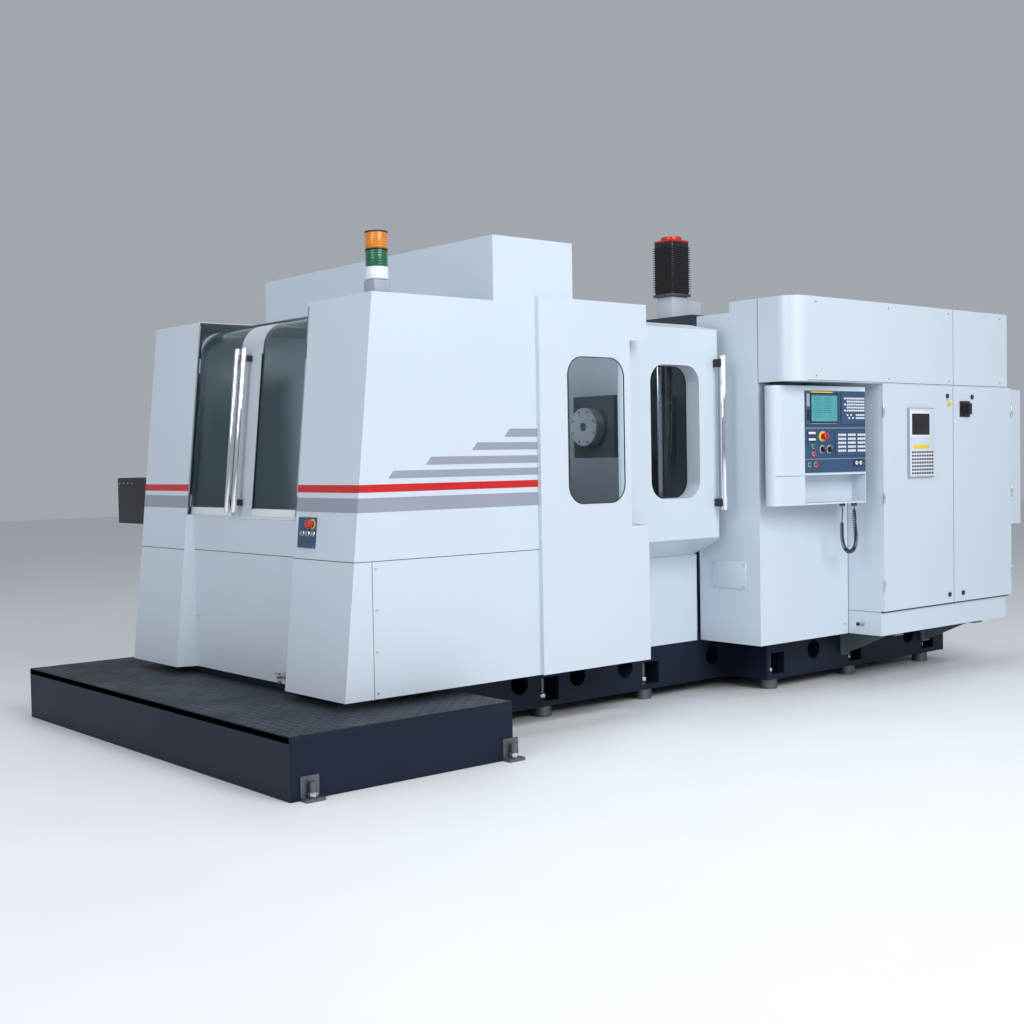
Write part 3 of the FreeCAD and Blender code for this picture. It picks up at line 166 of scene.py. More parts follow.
def finish(name, colour, rough=(0.3, 0.4), metallic=0.0, grain=400, bump=0.05, spread=0.06, coat=0.0,
           stretch=1.0, cloud=1.6, shine=0.5):
    """A painted, moulded or machined finish with its own roughness and grain."""
    material = bpy.data.materials.get(name) or bpy.data.materials.new(name)
    material.use_nodes = True
    material.diffuse_color = (*colour, 1)
    nodes, link = material.node_tree.nodes, material.node_tree.links.new
    nodes.clear()
    shader, output = nodes.new("ShaderNodeBsdfPrincipled"), nodes.new("ShaderNodeOutputMaterial")
    link(shader.outputs["BSDF"], output.inputs["Surface"])
    shader.inputs["Metallic"].default_value = metallic
    shader.inputs["Coat Weight"].default_value = coat
    shader.inputs["Specular IOR Level"].default_value = shine
    shader.inputs["Coat Roughness"].default_value = 0.12
    character = nodes.new("ShaderNodeGroup")
    character.node_tree = surface_group()
    for key, value in (("Grain Scale", grain), ("Rough Low", rough[0]), ("Rough High", rough[1]),
                       ("Stretch", stretch), ("Cloud Scale", cloud)):
        character.inputs[key].default_value = value
    mix = nodes.new("ShaderNodeMix")
    mix.data_type = "RGBA"
    mix.inputs["A"].default_value = (*[channel * (1 - spread) for channel in colour], 1)
    mix.inputs["B"].default_value = (*[min(1, channel * (1 + spread)) for channel in colour], 1)
    link(character.outputs["Cloud"], mix.inputs["Factor"])
    link(mix.outputs["Result"], shader.inputs["Base Color"])
    link(character.outputs["Roughness"], shader.inputs["Roughness"])
    relief = nodes.new("ShaderNodeBump")
    relief.inputs["Strength"].default_value = bump
    relief.inputs["Distance"].default_value = 0.0005
    link(character.outputs["Height"], relief.inputs["Height"])
    link(relief.outputs["Normal"], shader.inputs["Normal"])
    return material


def glass_finish(name, colour, rough):
    """A finish that light passes through."""
    material = finish(name, colour, rough=(rough, rough + 0.03), bump=0.01, spread=0.02)
    shader = material.node_tree.nodes["Principled BSDF"]
    shader.inputs["Transmission Weight"].default_value = 1.0
    shader.inputs["IOR"].default_value = 1.2
    return material


def lamp_finish(name, colour, strength):
    """A finish that glows."""
    material = finish(name, colour, rough=(0.18, 0.25), bump=0.02, coat=0.5)
    shader = material.node_tree.nodes["Principled BSDF"]
    shader.inputs["Emission Color"].default_value = (*colour, 1)
    shader.inputs["Emission Strength"].default_value = strength
    return material


# each plain finish: name, colour, lowest and highest roughness, grain, bump, and what else it has
PLAIN_FINISHES = (
    ("frame_paint", (0.52, 0.57, 0.64), (0.3, 0.4), 800, 0.06, {"spread": 0.05}),
    ("bracket_paint", (0.11, 0.16, 0.16), (0.4, 0.5), 400, 0.15, {}),
    ("conveyor_paint", (0.012, 0.014, 0.018), (0.35, 0.5), 300, 0.2, {"spread": 0.3}),
    ("grey_stripe", (0.30, 0.33, 0.40), (0.28, 0.36), 900, 0.03, {}),
    ("dark_steel", (0.16, 0.17, 0.19), (0.35, 0.55), 250, 0.2, {"metallic": 0.9}),
    ("tread_steel", (0.016, 0.022, 0.030), (0.35, 0.55), 220, 0.2, {"spread": 0.35, "cloud": 5.0, "shine": 0.25}),
    ("ground_steel", (0.62, 0.63, 0.65), (0.2, 0.34), 260, 0.12, {"metallic": 1, "stretch": 0.05}),
    ("stainless", (0.42, 0.44, 0.47), (0.22, 0.38), 300, 0.1, {"metallic": 1, "stretch": 0.03, "cloud": 3.0}),
    ("cast_iron", (0.028, 0.042, 0.055), (0.42, 0.58), 180, 0.35, {"spread": 0.2}),
    ("chrome", (0.83, 0.84, 0.86), (0.06, 0.12), 500, 0.01, {"metallic": 1}),
    ("grey_plastic", (0.33, 0.37, 0.44), (0.4, 0.5), 1200, 0.1, {}),
    ("black_plastic", (0.012, 0.012, 0.015), (0.35, 0.5), 1200, 0.12, {}),
    ("white_plastic", (0.74, 0.77, 0.82), (0.35, 0.42), 1200, 0.05, {}),
    ("yellow_plastic", (0.85, 0.58, 0.02), (0.35, 0.42), 1200, 0.05, {}),
    ("red_plastic", (0.58, 0.014, 0.014), (0.22, 0.3), 1200, 0.04, {"coat": 0.4}),
    ("green_plastic", (0.010, 0.14, 0.06), (0.2, 0.28), 1200, 0.04, {"coat": 0.4}),
    ("amber_lens", (0.72, 0.25, 0.012), (0.12, 0.2), 300, 0.05, {"coat": 0.6}),
    ("rubber", (0.010, 0.010, 0.011), (0.5, 0.65), 900, 0.2, {}),
)


def make_finishes():
    """Every finish of the machine, by the name of its slot in the record."""
    look = settings("machine_finish")
    made = [
        finish("body_paint", look.body_colour, rough=(0.30, 0.38), grain=900, bump=0.06, spread=0.025, coat=0.15),
        finish("navy_paint", look.base_colour, rough=(0.38, 0.5), grain=320, bump=0.25, spread=0.25, shine=0.16),
        finish("red_stripe", look.stripe_colour, rough=(0.28, 0.34), grain=900, bump=0.03, coat=0.2),
        finish("panel_blue", look.panel_colour, rough=(0.35, 0.45), grain=1400, bump=0.08),
        glass_finish("clear_glass", (0.55, 0.67, 0.68), 0.02),
        glass_finish("window_glass", (0.84, 0.90, 0.92), 0.02),
        lamp_finish("screen", (0.055, 0.27, 0.30), 0.35)]
    made += [finish(name, colour, rough=rough, grain=grain, bump=bump, **more)
             for name, colour, rough, grain, bump, more in PLAIN_FINISHES]
    return {material.name: material for material in made}


# ---------------------------------------------------------------- modelling helpers
def place(along, across, height):
    """A point given from the layout's datums, in the machine's own frame."""
    return Vector((FRONT + along, CENTRE + across, height))


def pick(*pieces):
    """Select these pieces alone, the first of them active."""
    bpy.ops.object.select_all(action="DESELECT")
    for piece in pieces:
        piece.select_set(True)
    bpy.context.view_layer.objects.active = pieces[0]


def apply_place(location=True, rotation=True):
    """Put the active piece's place and scale into its mesh."""
    bpy.ops.object.transform_apply(location=location, rotation=rotation, scale=True)


def modify(piece, kind, **values):
    """Add a modifier with these values to the active piece and apply it."""
    modifier = piece.modifiers.new(kind.title(), kind)
    for key, value in values.items():
        setattr(modifier, key, value)
    bpy.ops.object.modifier_apply(modifier=modifier.name)


def cube_between(low, high):
    """A plain cube stretched between two corners."""
    bpy.ops.object.select_all(action="DESELECT")
    low, high = Vector(low), Vector(high)
    bpy.ops.mesh.primitive_cube_add(size=1, location=(low + high) / 2)
    bpy.context.object.scale = high - low
    return bpy.context.object


def named(piece, name):
    """The piece with this name on it and on its mesh."""
    piece.name = piece.data.name = name
    return piece


def settle(piece, name, body, slot):
    """Put the piece's place into its mesh, name it, and give it its body, slot and finish."""
    pick(piece)
    apply_place()
    named(piece, name)
    piece.data.materials.clear()
    piece.data.materials.append(bpy.data.materials[slot])
    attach(piece, body)
    return piece


def soften(piece, width, segments=2):
    """Round the piece's edges with a bevel and shade it smooth by angle."""
    apply_place(location=False, rotation=False)
    if width:
        modify(piece, "BEVEL", width=width, segments=segments, limit_method="ANGLE")
    bpy.ops.object.shade_smooth_by_angle(angle=math.radians(35))


def block(name, low, high, slot, body=MACHINE, edge=0.001, segments=2, turn=None):
    """A block with rounded edges between two corners; turn is a matrix that places it."""
    ends = [sorted(pair) for pair in zip(low, high)]
    piece = cube_between([pair[0] for pair in ends], [pair[1] for pair in ends])
    soften(piece, min(edge, min(piece.scale) * 0.45), segments)
    if turn:
        piece.matrix_world = turn @ piece.matrix_world
    return settle(piece, name, body, slot)


AXES = {"x": Euler((0, math.pi / 2, 0)), "y": Euler((math.pi / 2, 0, 0)), "z": Euler((0, 0, 0))}


def turned(name, centre, axis, radius, depth, slot, body=MACHINE, edge=0.001, sides=32, turn=None, top=None,
           segments=2):
    """A turned piece, a cylinder or a cone with rounded rims, centred on a point along an axis."""
    bpy.ops.object.select_all(action="DESELECT")
    bpy.ops.mesh.primitive_cone_add(vertices=sides, radius1=radius, radius2=radius if top is None else top,
                                    depth=depth, location=centre, rotation=AXES[axis])
    piece = bpy.context.object
    soften(piece, min(edge, depth * 0.45, radius * 0.45), segments)
    if turn:
        piece.matrix_world = turn @ piece.matrix_world
    return settle(piece, name, body, slot)


def blocks(shift, rows, body=MACHINE, turn=None):
    """Blocks on one body, each row a name, two corners from a shared point, a slot, an edge and segments."""
    shift = Vector(shift)
    return [block(name, shift + Vector(low), shift + Vector(high), slot, body=body, edge=edge, turn=turn,
                  segments=more[0] if more else 2) for name, low, high, slot, edge, *more in rows]


def ring(name, centre, axis, radius, thick, slot, body=MACHINE, turn=None):
    """A round ring about an axis."""
    bpy.ops.object.select_all(action="DESELECT")
    bpy.ops.mesh.primitive_torus_add(major_radius=radius, minor_radius=thick, major_segments=40,
                                     minor_segments=10, location=centre, rotation=AXES[axis])
    piece = bpy.context.object
    soften(piece, 0)
    if turn:
        piece.matrix_world = turn @ piece.matrix_world
    return settle(piece, name, body, slot)


def join(name, pieces):
    """Several pieces of one finish and one body made one object."""
    pick(*pieces)
    bpy.ops.object.join()
    return named(pieces[0], name)


def duplicate(piece):
    """A copy of a piece with its own mesh."""
    pick(piece)
    bpy.ops.object.duplicate(linked=False)
    return bpy.context.object


def repeat(name, model, places):
    """Copies of one modelled piece, each moved by an offset, joined with the first."""
    pieces = [model]
    for offset in places:
        copy = duplicate(model)
        copy.data.transform(Matrix.Translation(offset))
        pieces.append(copy)
    return join(name, pieces)


# ---------------------------------------------------------------- curly cord
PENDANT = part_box("pendant_swivel")
PIVOT = Vector(((PENDANT[0].x + PENDANT[1].x) / 2, (PENDANT[0].y + PENDANT[1].y) / 2, 0))
PENDANT_FRAME = Matrix.Translation(PIVOT) @ Matrix.Rotation(math.radians(-6), 4, "Z")

# the route under the pendant, in its own frame: along its width, across, height
CORD_ROUTE = [(0.593, 0, 1.068), (0.593, 0, 1.020), (0.603, 0.005, 0.962), (0.608, 0.002, 0.908),
              (0.605, -0.003, 0.860), (0.587, -0.006, 0.820), (0.551, -0.005, 0.801),
              (0.514, -0.002, 0.818), (0.498, 0.003, 0.857), (0.495, 0.005, 0.904),
              (0.492, 0.003, 0.958), (0.495, 0, 1.012), (0.495, 0, 1.068)]


def spline(name, points, radius):
    """A smooth open curve through the pull of its control points, with a round section."""
    data = bpy.data.curves.new(name, "CURVE")
    data.dimensions = "3D"
    line = data.splines.new("NURBS")
    line.points.add(len(points) - 1)
    for target, point in zip(line.points, points):
        target.co = (*point, 1)
    line.order_u = 3
    line.use_endpoint_u = True
    data.bevel_depth = radius
    data.bevel_resolution = 2
    piece = bpy.data.objects.new(name, data)
    bpy.context.collection.objects.link(piece)
    return piece


def read_line(points, resolution):
    """Evenly spaced points along the smooth route."""
    guide = spline("route_guide", points, 0)
    guide.data.resolution_u = resolution
    mesh = bpy.data.meshes.new_from_object(guide)
    line = [vertex.co.copy() for vertex in mesh.vertices]
    bpy.data.meshes.remove(mesh)
    bpy.data.objects.remove(guide)
    return line


def along_line(line, distance):
    """The point and direction at a distance along a polyline."""
    for start, end in zip(line, line[1:]):
        step = (end - start).length
        if distance <= step or end is line[-1]:
            return start.lerp(end, min(1, distance / step)), (end - start).normalized()
        distance -= step
    return line[-1], (line[-1] - line[-2]).normalized()


class MACHINE_OT_curly_cord(bpy.types.Operator):
    """Hang the pendant's curly cord: a thin lead, coiled for most of its way"""
    bl_idname = "machine.curly_cord"
    bl_label = "Curly cord"

    def execute(self, context):
        cord = context.scene.machine_cord
        route = [PENDANT_FRAME @ Vector(point) for point in CORD_ROUTE]
        line = read_line(route, 24)
        total = sum((end - start).length for start, end in zip(line, line[1:]))
        lead, tail = 0.014, 0.085
        count = cord.turns * cord.steps
        points = [line[0], along_line(line, lead * 0.5)[0]]
        side = PENDANT_FRAME.to_3x3() @ Vector((0, 1, 0))
        for number in range(count + 1):
            share = number / count
            distance = lead + (total - lead - tail) * share
            centre, forward = along_line(line, distance)
            across = side - forward * side.dot(forward)
            across.normalize()
            other = forward.cross(across)
            angle = 2 * math.pi * number / cord.steps
            ease = min(1, share * cord.turns / 1.5, (1 - share) * cord.turns / 1.5)
            radius = cord.coil_radius * ease
            points.append(centre + (across * math.cos(angle) + other * math.sin(angle)) * radius)
        points += [along_line(line, total - tail * share)[0] for share in (0.75, 0.5, 0.25)]
        points.append(line[-1])
        piece = spline("curly_lead", points, cord.wire_radius)
        piece.data.resolution_u = 3
        piece.data.materials.append(bpy.data.materials["rubber"])
        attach(piece, "pendant")
        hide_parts("curly_cord")
        return {"FINISHED"}


# ---------------------------------------------------------------- finishes on the machine's own pieces
class MACHINE_OT_finishes(bpy.types.Operator):
    """Make every finish and give each of the machine's own pieces the one its slot names"""
    bl_idname = "machine.finishes"
    bl_label = "Finishes"

    def execute(self, context):
        finishes = make_finishes()
        for part in frame["record"]["subparts"]:
            piece = frame["nodes"][part["node"]]
            material = finishes[part["material_slot"]]
            for slot in piece.material_slots:
                slot.material = material
            if not piece.material_slots:
                piece.data.materials.append(material)
        for node in ("window_panel_glass", "operator_door_glass"):
            for slot in frame["nodes"][node].material_slots:
                slot.material = finishes["window_glass"]
        return {"FINISHED"}


# ---------------------------------------------------------------- stage
class MACHINE_OT_stage(bpy.types.Operator):
    """Set the pale floor, the soft studio lights and the camera"""
    bl_idname = "machine.stage"
    bl_label = "Stage"

    def execute(self, context):
        stage = context.scene.machine_stage
        bpy.ops.object.select_all(action="DESELECT")
        bpy.ops.mesh.primitive_plane_add(size=60, location=(0, 0, -0.0005))
        floor = context.object
        floor.name = "floor"
        floor.data.materials.append(finish("floor_finish", stage.floor_colour, rough=(0.45, 0.55), grain=60,
                                           bump=0.03, spread=0.02))
        world = bpy.data.worlds.new("studio")
        context.scene.world = world
        world.use_nodes = True
        world.node_tree.nodes["Background"].inputs["Color"].default_value = (0.86, 0.91, 1.0, 1)
        world.node_tree.nodes["Background"].inputs["Strength"].default_value = 0.42
        for name, spot, aim, size, power in (
                ("key", (-1.5, -9.0, 6.0), (-0.4, -1.2, 1.0), 5.0, 600),
                ("front", (-9.0, -2.5, 4.5), (-2.2, 0, 1.0), 4.0, 185),
                ("top", (0, 0, 8.5), (0, 0, 0), 6.0, 200),
                ("work_lamp", place(1.45, -0.45, 2.05), place(1.9, 0.1, 1.2), 0.5, 9)):
            bpy.ops.object.light_add(type="AREA", location=spot)
            light = context.object
            light.name = name
            light.data.size = size
            light.data.energy = power
            light.rotation_euler = (Vector(aim) - Vector(spot)).to_track_quat("-Z", "Y").to_euler()
        turn = (Matrix.Rotation(-stage.yaw, 3, "Z") @ Matrix.Rotation(math.pi / 2 - stage.pitch, 3, "X")
                @ Matrix.Rotation(-stage.roll, 3, "Z"))
        bpy.ops.object.camera_add(location=place(*stage.eye), rotation=turn.to_euler())
        camera = context.object
        camera.name = "camera"
        camera.data.sensor_width = 36
        camera.data.lens = stage.lens
        camera.data.clip_end = 200
        context.scene.camera = camera
        context.scene.view_settings.view_transform = "Standard"
        return {"FINISHED"}


# ---------------------------------------------------------------- pendant
FACE = -0.056           # front of the panel plate in the pendant's frame
HEAD_FACE = -0.053      # front of the pendant's head beside the plate

# raised blocks on the plate: name, left, right, low, high, slot, how proud, edge
SCREEN_PIECES = (
    ("screen_unit", 0.142, 0.420, 1.536, 1.726, "panel_blue", 0.006, 0.003),
    ("screen_bezel", 0.176, 0.398, 1.548, 1.716, "black_plastic", 0.009, 0.003),
    ("screen_glass", 0.184, 0.390, 1.556, 1.709, "screen", 0.0098, 0.0008),
    ("screen_header", 0.184, 0.390, 1.7005, 1.709, "panel_blue", 0.0104, 0.0003),
    ("screen_strip", 0.180, 0.356, 1.7165, 1.7235, "yellow_plastic", 0.0085, 0.0006))
UNIT_PIECES = (
    ("card_slot", 0.148, 0.170, 1.560, 1.620, "black_plastic", 0.0075, 0.001),
    ("card_door", 0.148, 0.170, 1.640, 1.712, "grey_plastic", 0.008, 0.001),
    ("key_unit", 0.428, 0.626, 1.540, 1.722, "panel_blue", 0.006, 0.003))
PLATE_PIECES = (
    ("divider_high", 0.141, 0.630, 1.5165, 1.5205, "grey_plastic", 0.004, 0.001),
    ("divider_low", 0.141, 0.630, 1.3430, 1.3465, "grey_plastic", 0.004, 0.001),
    ("lamp_bed_0", 0.158, 0.222, 1.479, 1.503, "black_plastic", 0.004, 0.002),
    ("lamp_bar_0", 0.163, 0.217, 1.484, 1.498, "white_plastic", 0.008, 0.003),
    ("lamp_bed_1", 0.158, 0.222, 1.443, 1.467, "black_plastic", 0.004, 0.002),
    ("lamp_bar_1", 0.163, 0.217, 1.448, 1.462, "white_plastic", 0.008, 0.003))


def on_panel(name, left, right, low, high, slot, proud, edge, face=FACE):
    """A raised block on the pendant's face."""
    return block(name, (left, face - proud, low), (right, face, high), slot, body="pendant", edge=edge,
                 turn=PENDANT_FRAME)


def on_pendant(name, along, out, height, radius, depth, slot, **more):
    """A turned piece on the pendant's face, its middle a distance in front of the plate."""
    return turned(name, (along, FACE - out, height), "y", radius, depth, slot, body=more.pop("body", "pendant"),
                  turn=PENDANT_FRAME, **more)


def panel_button(name, along, height, radius, slot):
    """A push button in a bright ring."""
    on_pendant(name + "_rim", along, 0.003, height, radius * 1.3, 0.006, "chrome", edge=0.0015)
    on_pendant(name, along, 0.009, height, radius, 0.012, slot, edge=0.003, segments=3)


def copies_on_panel(name, model, offsets):
    """Copies of a piece on the panel, moved along its face."""
    return repeat(name, model, [PENDANT_FRAME.to_3x3() @ Vector(offset) for offset in offsets])


def key_grid(name, left, high, columns, rows, pitch, key, slot="white_plastic", gaps=()):
    """Rows of small keys; gaps lists the cells that stay empty."""
    model = on_panel(name, left, left + key[0], high - key[1], high, slot, 0.0092, 0.0014)
    copies_on_panel(name, model, [(column * pitch[0], 0, -row * pitch[1]) for row in range(rows)
                                  for column in range(columns) if (row, column) not in ((0, 0), *gaps)])


class MACHINE_OT_pendant(bpy.types.Operator):
    """Fit the pendant's screen, keys, lamps, buttons, dials and trims"""
    bl_idname = "machine.pendant"
    bl_label = "Pendant"

    def execute(self, context):
        for row in SCREEN_PIECES:
            on_panel(*row)
        key_grid("screen_soft_keys", 0.190, 1.5465, 12, 1, (0.0165, 0), (0.010, 0.005), slot="grey_plastic")
        line = on_panel("screen_lines", 0.200, 0.262, 1.688, 1.6905, "panel_blue", 0.0101, 0.0002)
        copies_on_panel("screen_lines", line, [(0, 0, -0.012 * row) for row in range(1, 10)]
                        + [(0.078, 0, -0.012 * row) for row in range(8)])
        for row in UNIT_PIECES:
            on_panel(*row)
        small, pitch = (0.0108, 0.0108), (0.0150, 0.0172)
        key_grid("letter_keys", 0.470, 1.692, 10, 5, pitch, small)
        key_grid("side_keys", 0.448, 1.692, 1, 3, (0.015, 0.0344), (0.013, 0.011))
        key_grid("arrow_keys", 0.470, 1.598, 10, 2, pitch, small,
                 gaps=((0, 1), (0, 3), (1, 0), (1, 2), (1, 4), (0, 4)))
        for row in PLATE_PIECES:
            on_panel(*row)
        for name, along, height, radius, slot in (
                ("start_button", 0.201, 1.417, 0.011, "green_plastic"),
                ("hold_button", 0.204, 1.375, 0.011, "red_plastic"),
                ("power_on", 0.171, 1.315, 0.012, "green_plastic"),
                ("power_off", 0.219, 1.315, 0.012, "red_plastic")):
            panel_button(name, along, height, radius, slot)
        on_panel("socket_bed", 0.528, 0.604, 1.302, 1.336, "black_plastic", 0.005, 0.004)
        for number, along in enumerate((0.549, 0.582)):
            on_pendant(f"socket_{number}", along, 0.007, 1.319, 0.0115, 0.006, "white_plastic", edge=0.002)
            on_pendant(f"socket_hole_{number}", along, 0.0102, 1.319, 0.004, 0.002, "black_plastic", edge=0.0004)
        on_panel("operation_unit", 0.378, 0.626, 1.362, 1.504, "panel_blue", 0.006, 0.003)
        for group in range(3):
            key_grid(f"operation_keys_{group}", 0.398 + group * 0.080, 1.486, 4, 5, (0.0165, 0.0225),
                     (0.0128, 0.0128))
        self.stop()
        for node, knob in (("feed_dial", "feed_knob"), ("spindle_dial", "spindle_knob")):
            self.dial(node, knob)
        self.trims()
        return {"FINISHED"}

    def plate(self, node, radius, slot):
        """The round plate behind a stop or a dial, and the middle of the node in the pendant's frame."""
        low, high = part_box(node)
        local = PENDANT_FRAME.inverted() @ ((low + high) / 2)
        on_pendant(node + "_plate", local.x, 0.0012, local.z, radius, 0.0024, slot, edge=0.0006, sides=48)
        return local

    def stop(self):
        """The emergency stop's plate, collar and domed head."""
        local = self.plate("pendant_estop", 0.030, "yellow_plastic")
        ring("pendant_estop_collar", (local.x, FACE - 0.006, local.z), "y", 0.0125, 0.003, "black_plastic",
             body="pendant", turn=PENDANT_FRAME)
        on_pendant("pendant_estop_dome", local.x, 0.0325, local.z, 0.0205, 0.007, "red_plastic",
                   body="pendant_stop", edge=0.003, top=0.015, segments=4)

    def dial(self, node, knob):
        """An override dial's plate, crown, pointer and marks."""
        local = self.plate(node, 0.024, "grey_plastic")
        on_pendant(node + "_crown", local.x, 0.0195, local.z, 0.0135, 0.005, "black_plastic", body=knob,
                   edge=0.0015, sides=16)
        block(node + "_pointer", (local.x - 0.0011, FACE - 0.0226, local.z),
              (local.x + 0.0011, FACE - 0.0215, local.z + 0.013), "white_plastic", body=knob, edge=0.0003,
              turn=PENDANT_FRAME)
        mark = block(node + "_marks", (local.x - 0.0006, FACE - 0.003, local.z + 0.0185),
                     (local.x + 0.0006, FACE - 0.0024, local.z + 0.0225), "white_plastic", body="pendant",
                     edge=0.0002)
        marks = [mark]
        pivot = Matrix.Translation((local.x, 0, local.z))
        for step in range(1, 11):
            copy = duplicate(mark)
            angle = math.radians(24 * (step if step < 6 else step - 11))
            copy.data.transform(pivot @ Matrix.Rotation(angle, 4, "Y") @ pivot.inverted())
            marks.append(copy)
        join(node + "_marks", marks).data.transform(PENDANT_FRAME)

    def trims(self):
        """Seams, the shelf's lip and mat, the swivel's boot and the cord's glands."""
        on_panel("head_seam", -0.088, 0.634, 1.2515, 1.2535, "black_plastic", 0.0008, 0.0003, HEAD_FACE)
        on_panel("column_seam", 0.1385, 0.1400, 1.2535, 1.754, "grey_plastic", 0.0006, 0.0002, HEAD_FACE)
        on_panel("shelf_lip", 0.141, 0.634, 1.088, 1.099, "body_paint", 0.0035, 0.0015, HEAD_FACE)
        on_panel("shelf_mat", 0.150, 0.626, 1.0925, 1.0955, "rubber", -0.094, 0.001, 0.046)
        join("swivel_boot", [turned(f"boot_{number}", (PIVOT.x, PIVOT.y, 1.7573 + 0.0042 * number), "z", 0.0535,
                                    0.0034, "rubber", edge=0.0014, sides=40) for number in range(5)])
        for number, along in enumerate((0.593, 0.495)):
            turned(f"gland_nut_{number}", (along, 0, 1.081), "z", 0.0185, 0.012, "black_plastic", body="pendant",
                   edge=0.0015, sides=6, turn=PENDANT_FRAME)
            turned(f"gland_cap_{number}", (along, 0, 1.0715), "z", 0.0165, 0.007, "rubber", body="pendant",
                   edge=0.002, turn=PENDANT_FRAME)


# ---------------------------------------------------------------- stripes, seams and screws
LEAN = 0.1027                       # slope of the pillars' faces
PILLAR = (0.553, 1.065)             # a pillar's inner and outer edge from the centre line
RED_BAND, GREY_BAND = (1.235, 1.270), (1.145, 1.210)
APRON_FACE, APRON_HALF = FRONT - 0.055, 0.515
SPLIT = (0.9225, 0.9255)            # the seam between the upper and the lower covers
CORNER_RADIUS = 0.100               # of both side windows
NEAR_WINDOW = ((1.185, 1.584), (1.140, 1.887))      # along and height of the fixed window
DOOR_WINDOW = ((1.888, 2.277), (1.142, 1.875))      # and of the operator's door's window
COVER_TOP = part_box("setup_roof")[0].z
NEAR_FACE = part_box("near_side_covers")[0].y
SCREW_HEAD = 0.0055
SIDES = (("near", -1), ("far", 1))


def lean_x(height):
    """X of the leaning pillars' face at a height."""
    return FRONT + ROOF_SETBACK - (COVER_TOP - height) * LEAN


def slanted(name, low, high, slot, move):
    """A plain block with each vertex shifted along X by what move gives for it."""
    piece = cube_between(low, high)
    apply_place()
    for vertex in piece.data.vertices:
        vertex.co.x += move(vertex.co)
    return settle(piece, name, MACHINE, slot)


def side_bar(name, start, end, band, slot, slope, across=NEAR_FACE):
    """A flat bar of film on a side cover, with its near end cut on a slant."""
    film = settings("machine_finish").film
    middle = FRONT + (start + end) / 2
    return slanted(name, (FRONT + start, across - film, band[0]), (FRONT + end, across, band[1]), slot,
                   lambda point: slope * (point.z - band[0]) if point.x < middle else 0)


def pillar_bar(name, band, slot, side):
    """The same film carried round onto a pillar's leaning face."""
    film = settings("machine_finish").film
    across = sorted(CENTRE + side * edge for edge in (PILLAR[0], PILLAR[1] + 0.0005))
    return slanted(name, (-film / 2, across[0], band[0]), (film / 2, across[1], band[1]), slot,
                   lambda point: lean_x(point.z) - film / 2)


def screws(name, points, axis, radius=SCREW_HEAD, turn=None):
    """Low domed screw heads, modelled once and copied."""
    first = Vector(points[0])
    model = turned(name, first, axis, radius, 0.004, "ground_steel", edge=0.0016, sides=14, turn=turn)
    return repeat(name, model, [Vector(point) - first for point in points[1:]]) if points[1:] else model


def seam(name, low, high):
    """A thin dark line where two covers meet; under the cabinet's doors the same line is a painted shadow
    instead.
    """
    return block(name, low, high, "black_plastic", edge=0.0003)


class MACHINE_OT_stripes(bpy.types.Operator):
    """Lay the bright stripe, the grey stripe and the stepped grey bars"""
    bl_idname = "machine.stripes"
    bl_label = "Stripes"

    def execute(self, context):
        bands = (("red_stripe", RED_BAND), ("grey_stripe", GREY_BAND))
        for slot, band in bands:
            side_bar(slot + "_side", lean_x(band[0]) - FRONT, 1.0, band, slot, LEAN)
        for name, side in SIDES:
            for slot, band in bands:
                pillar_bar(f"{slot}_{name}_pillar", band, slot, side)
        far_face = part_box("far_side_covers")[1].y + context.scene.machine_finish.film
        for slot, band in bands:
            side_bar(slot + "_far", lean_x(band[0]) - FRONT, 3.9, band, slot, LEAN, across=far_face)
        for number, (start, *band) in enumerate(((0.097, 1.296, 1.331), (0.311, 1.355, 1.392),
                                                 (0.587, 1.421, 1.457), (0.788, 1.483, 1.523))):
            side_bar(f"step_bar_{number}", start, 0.9995, band, "grey_stripe", 0.9)
        return {"FINISHED"}


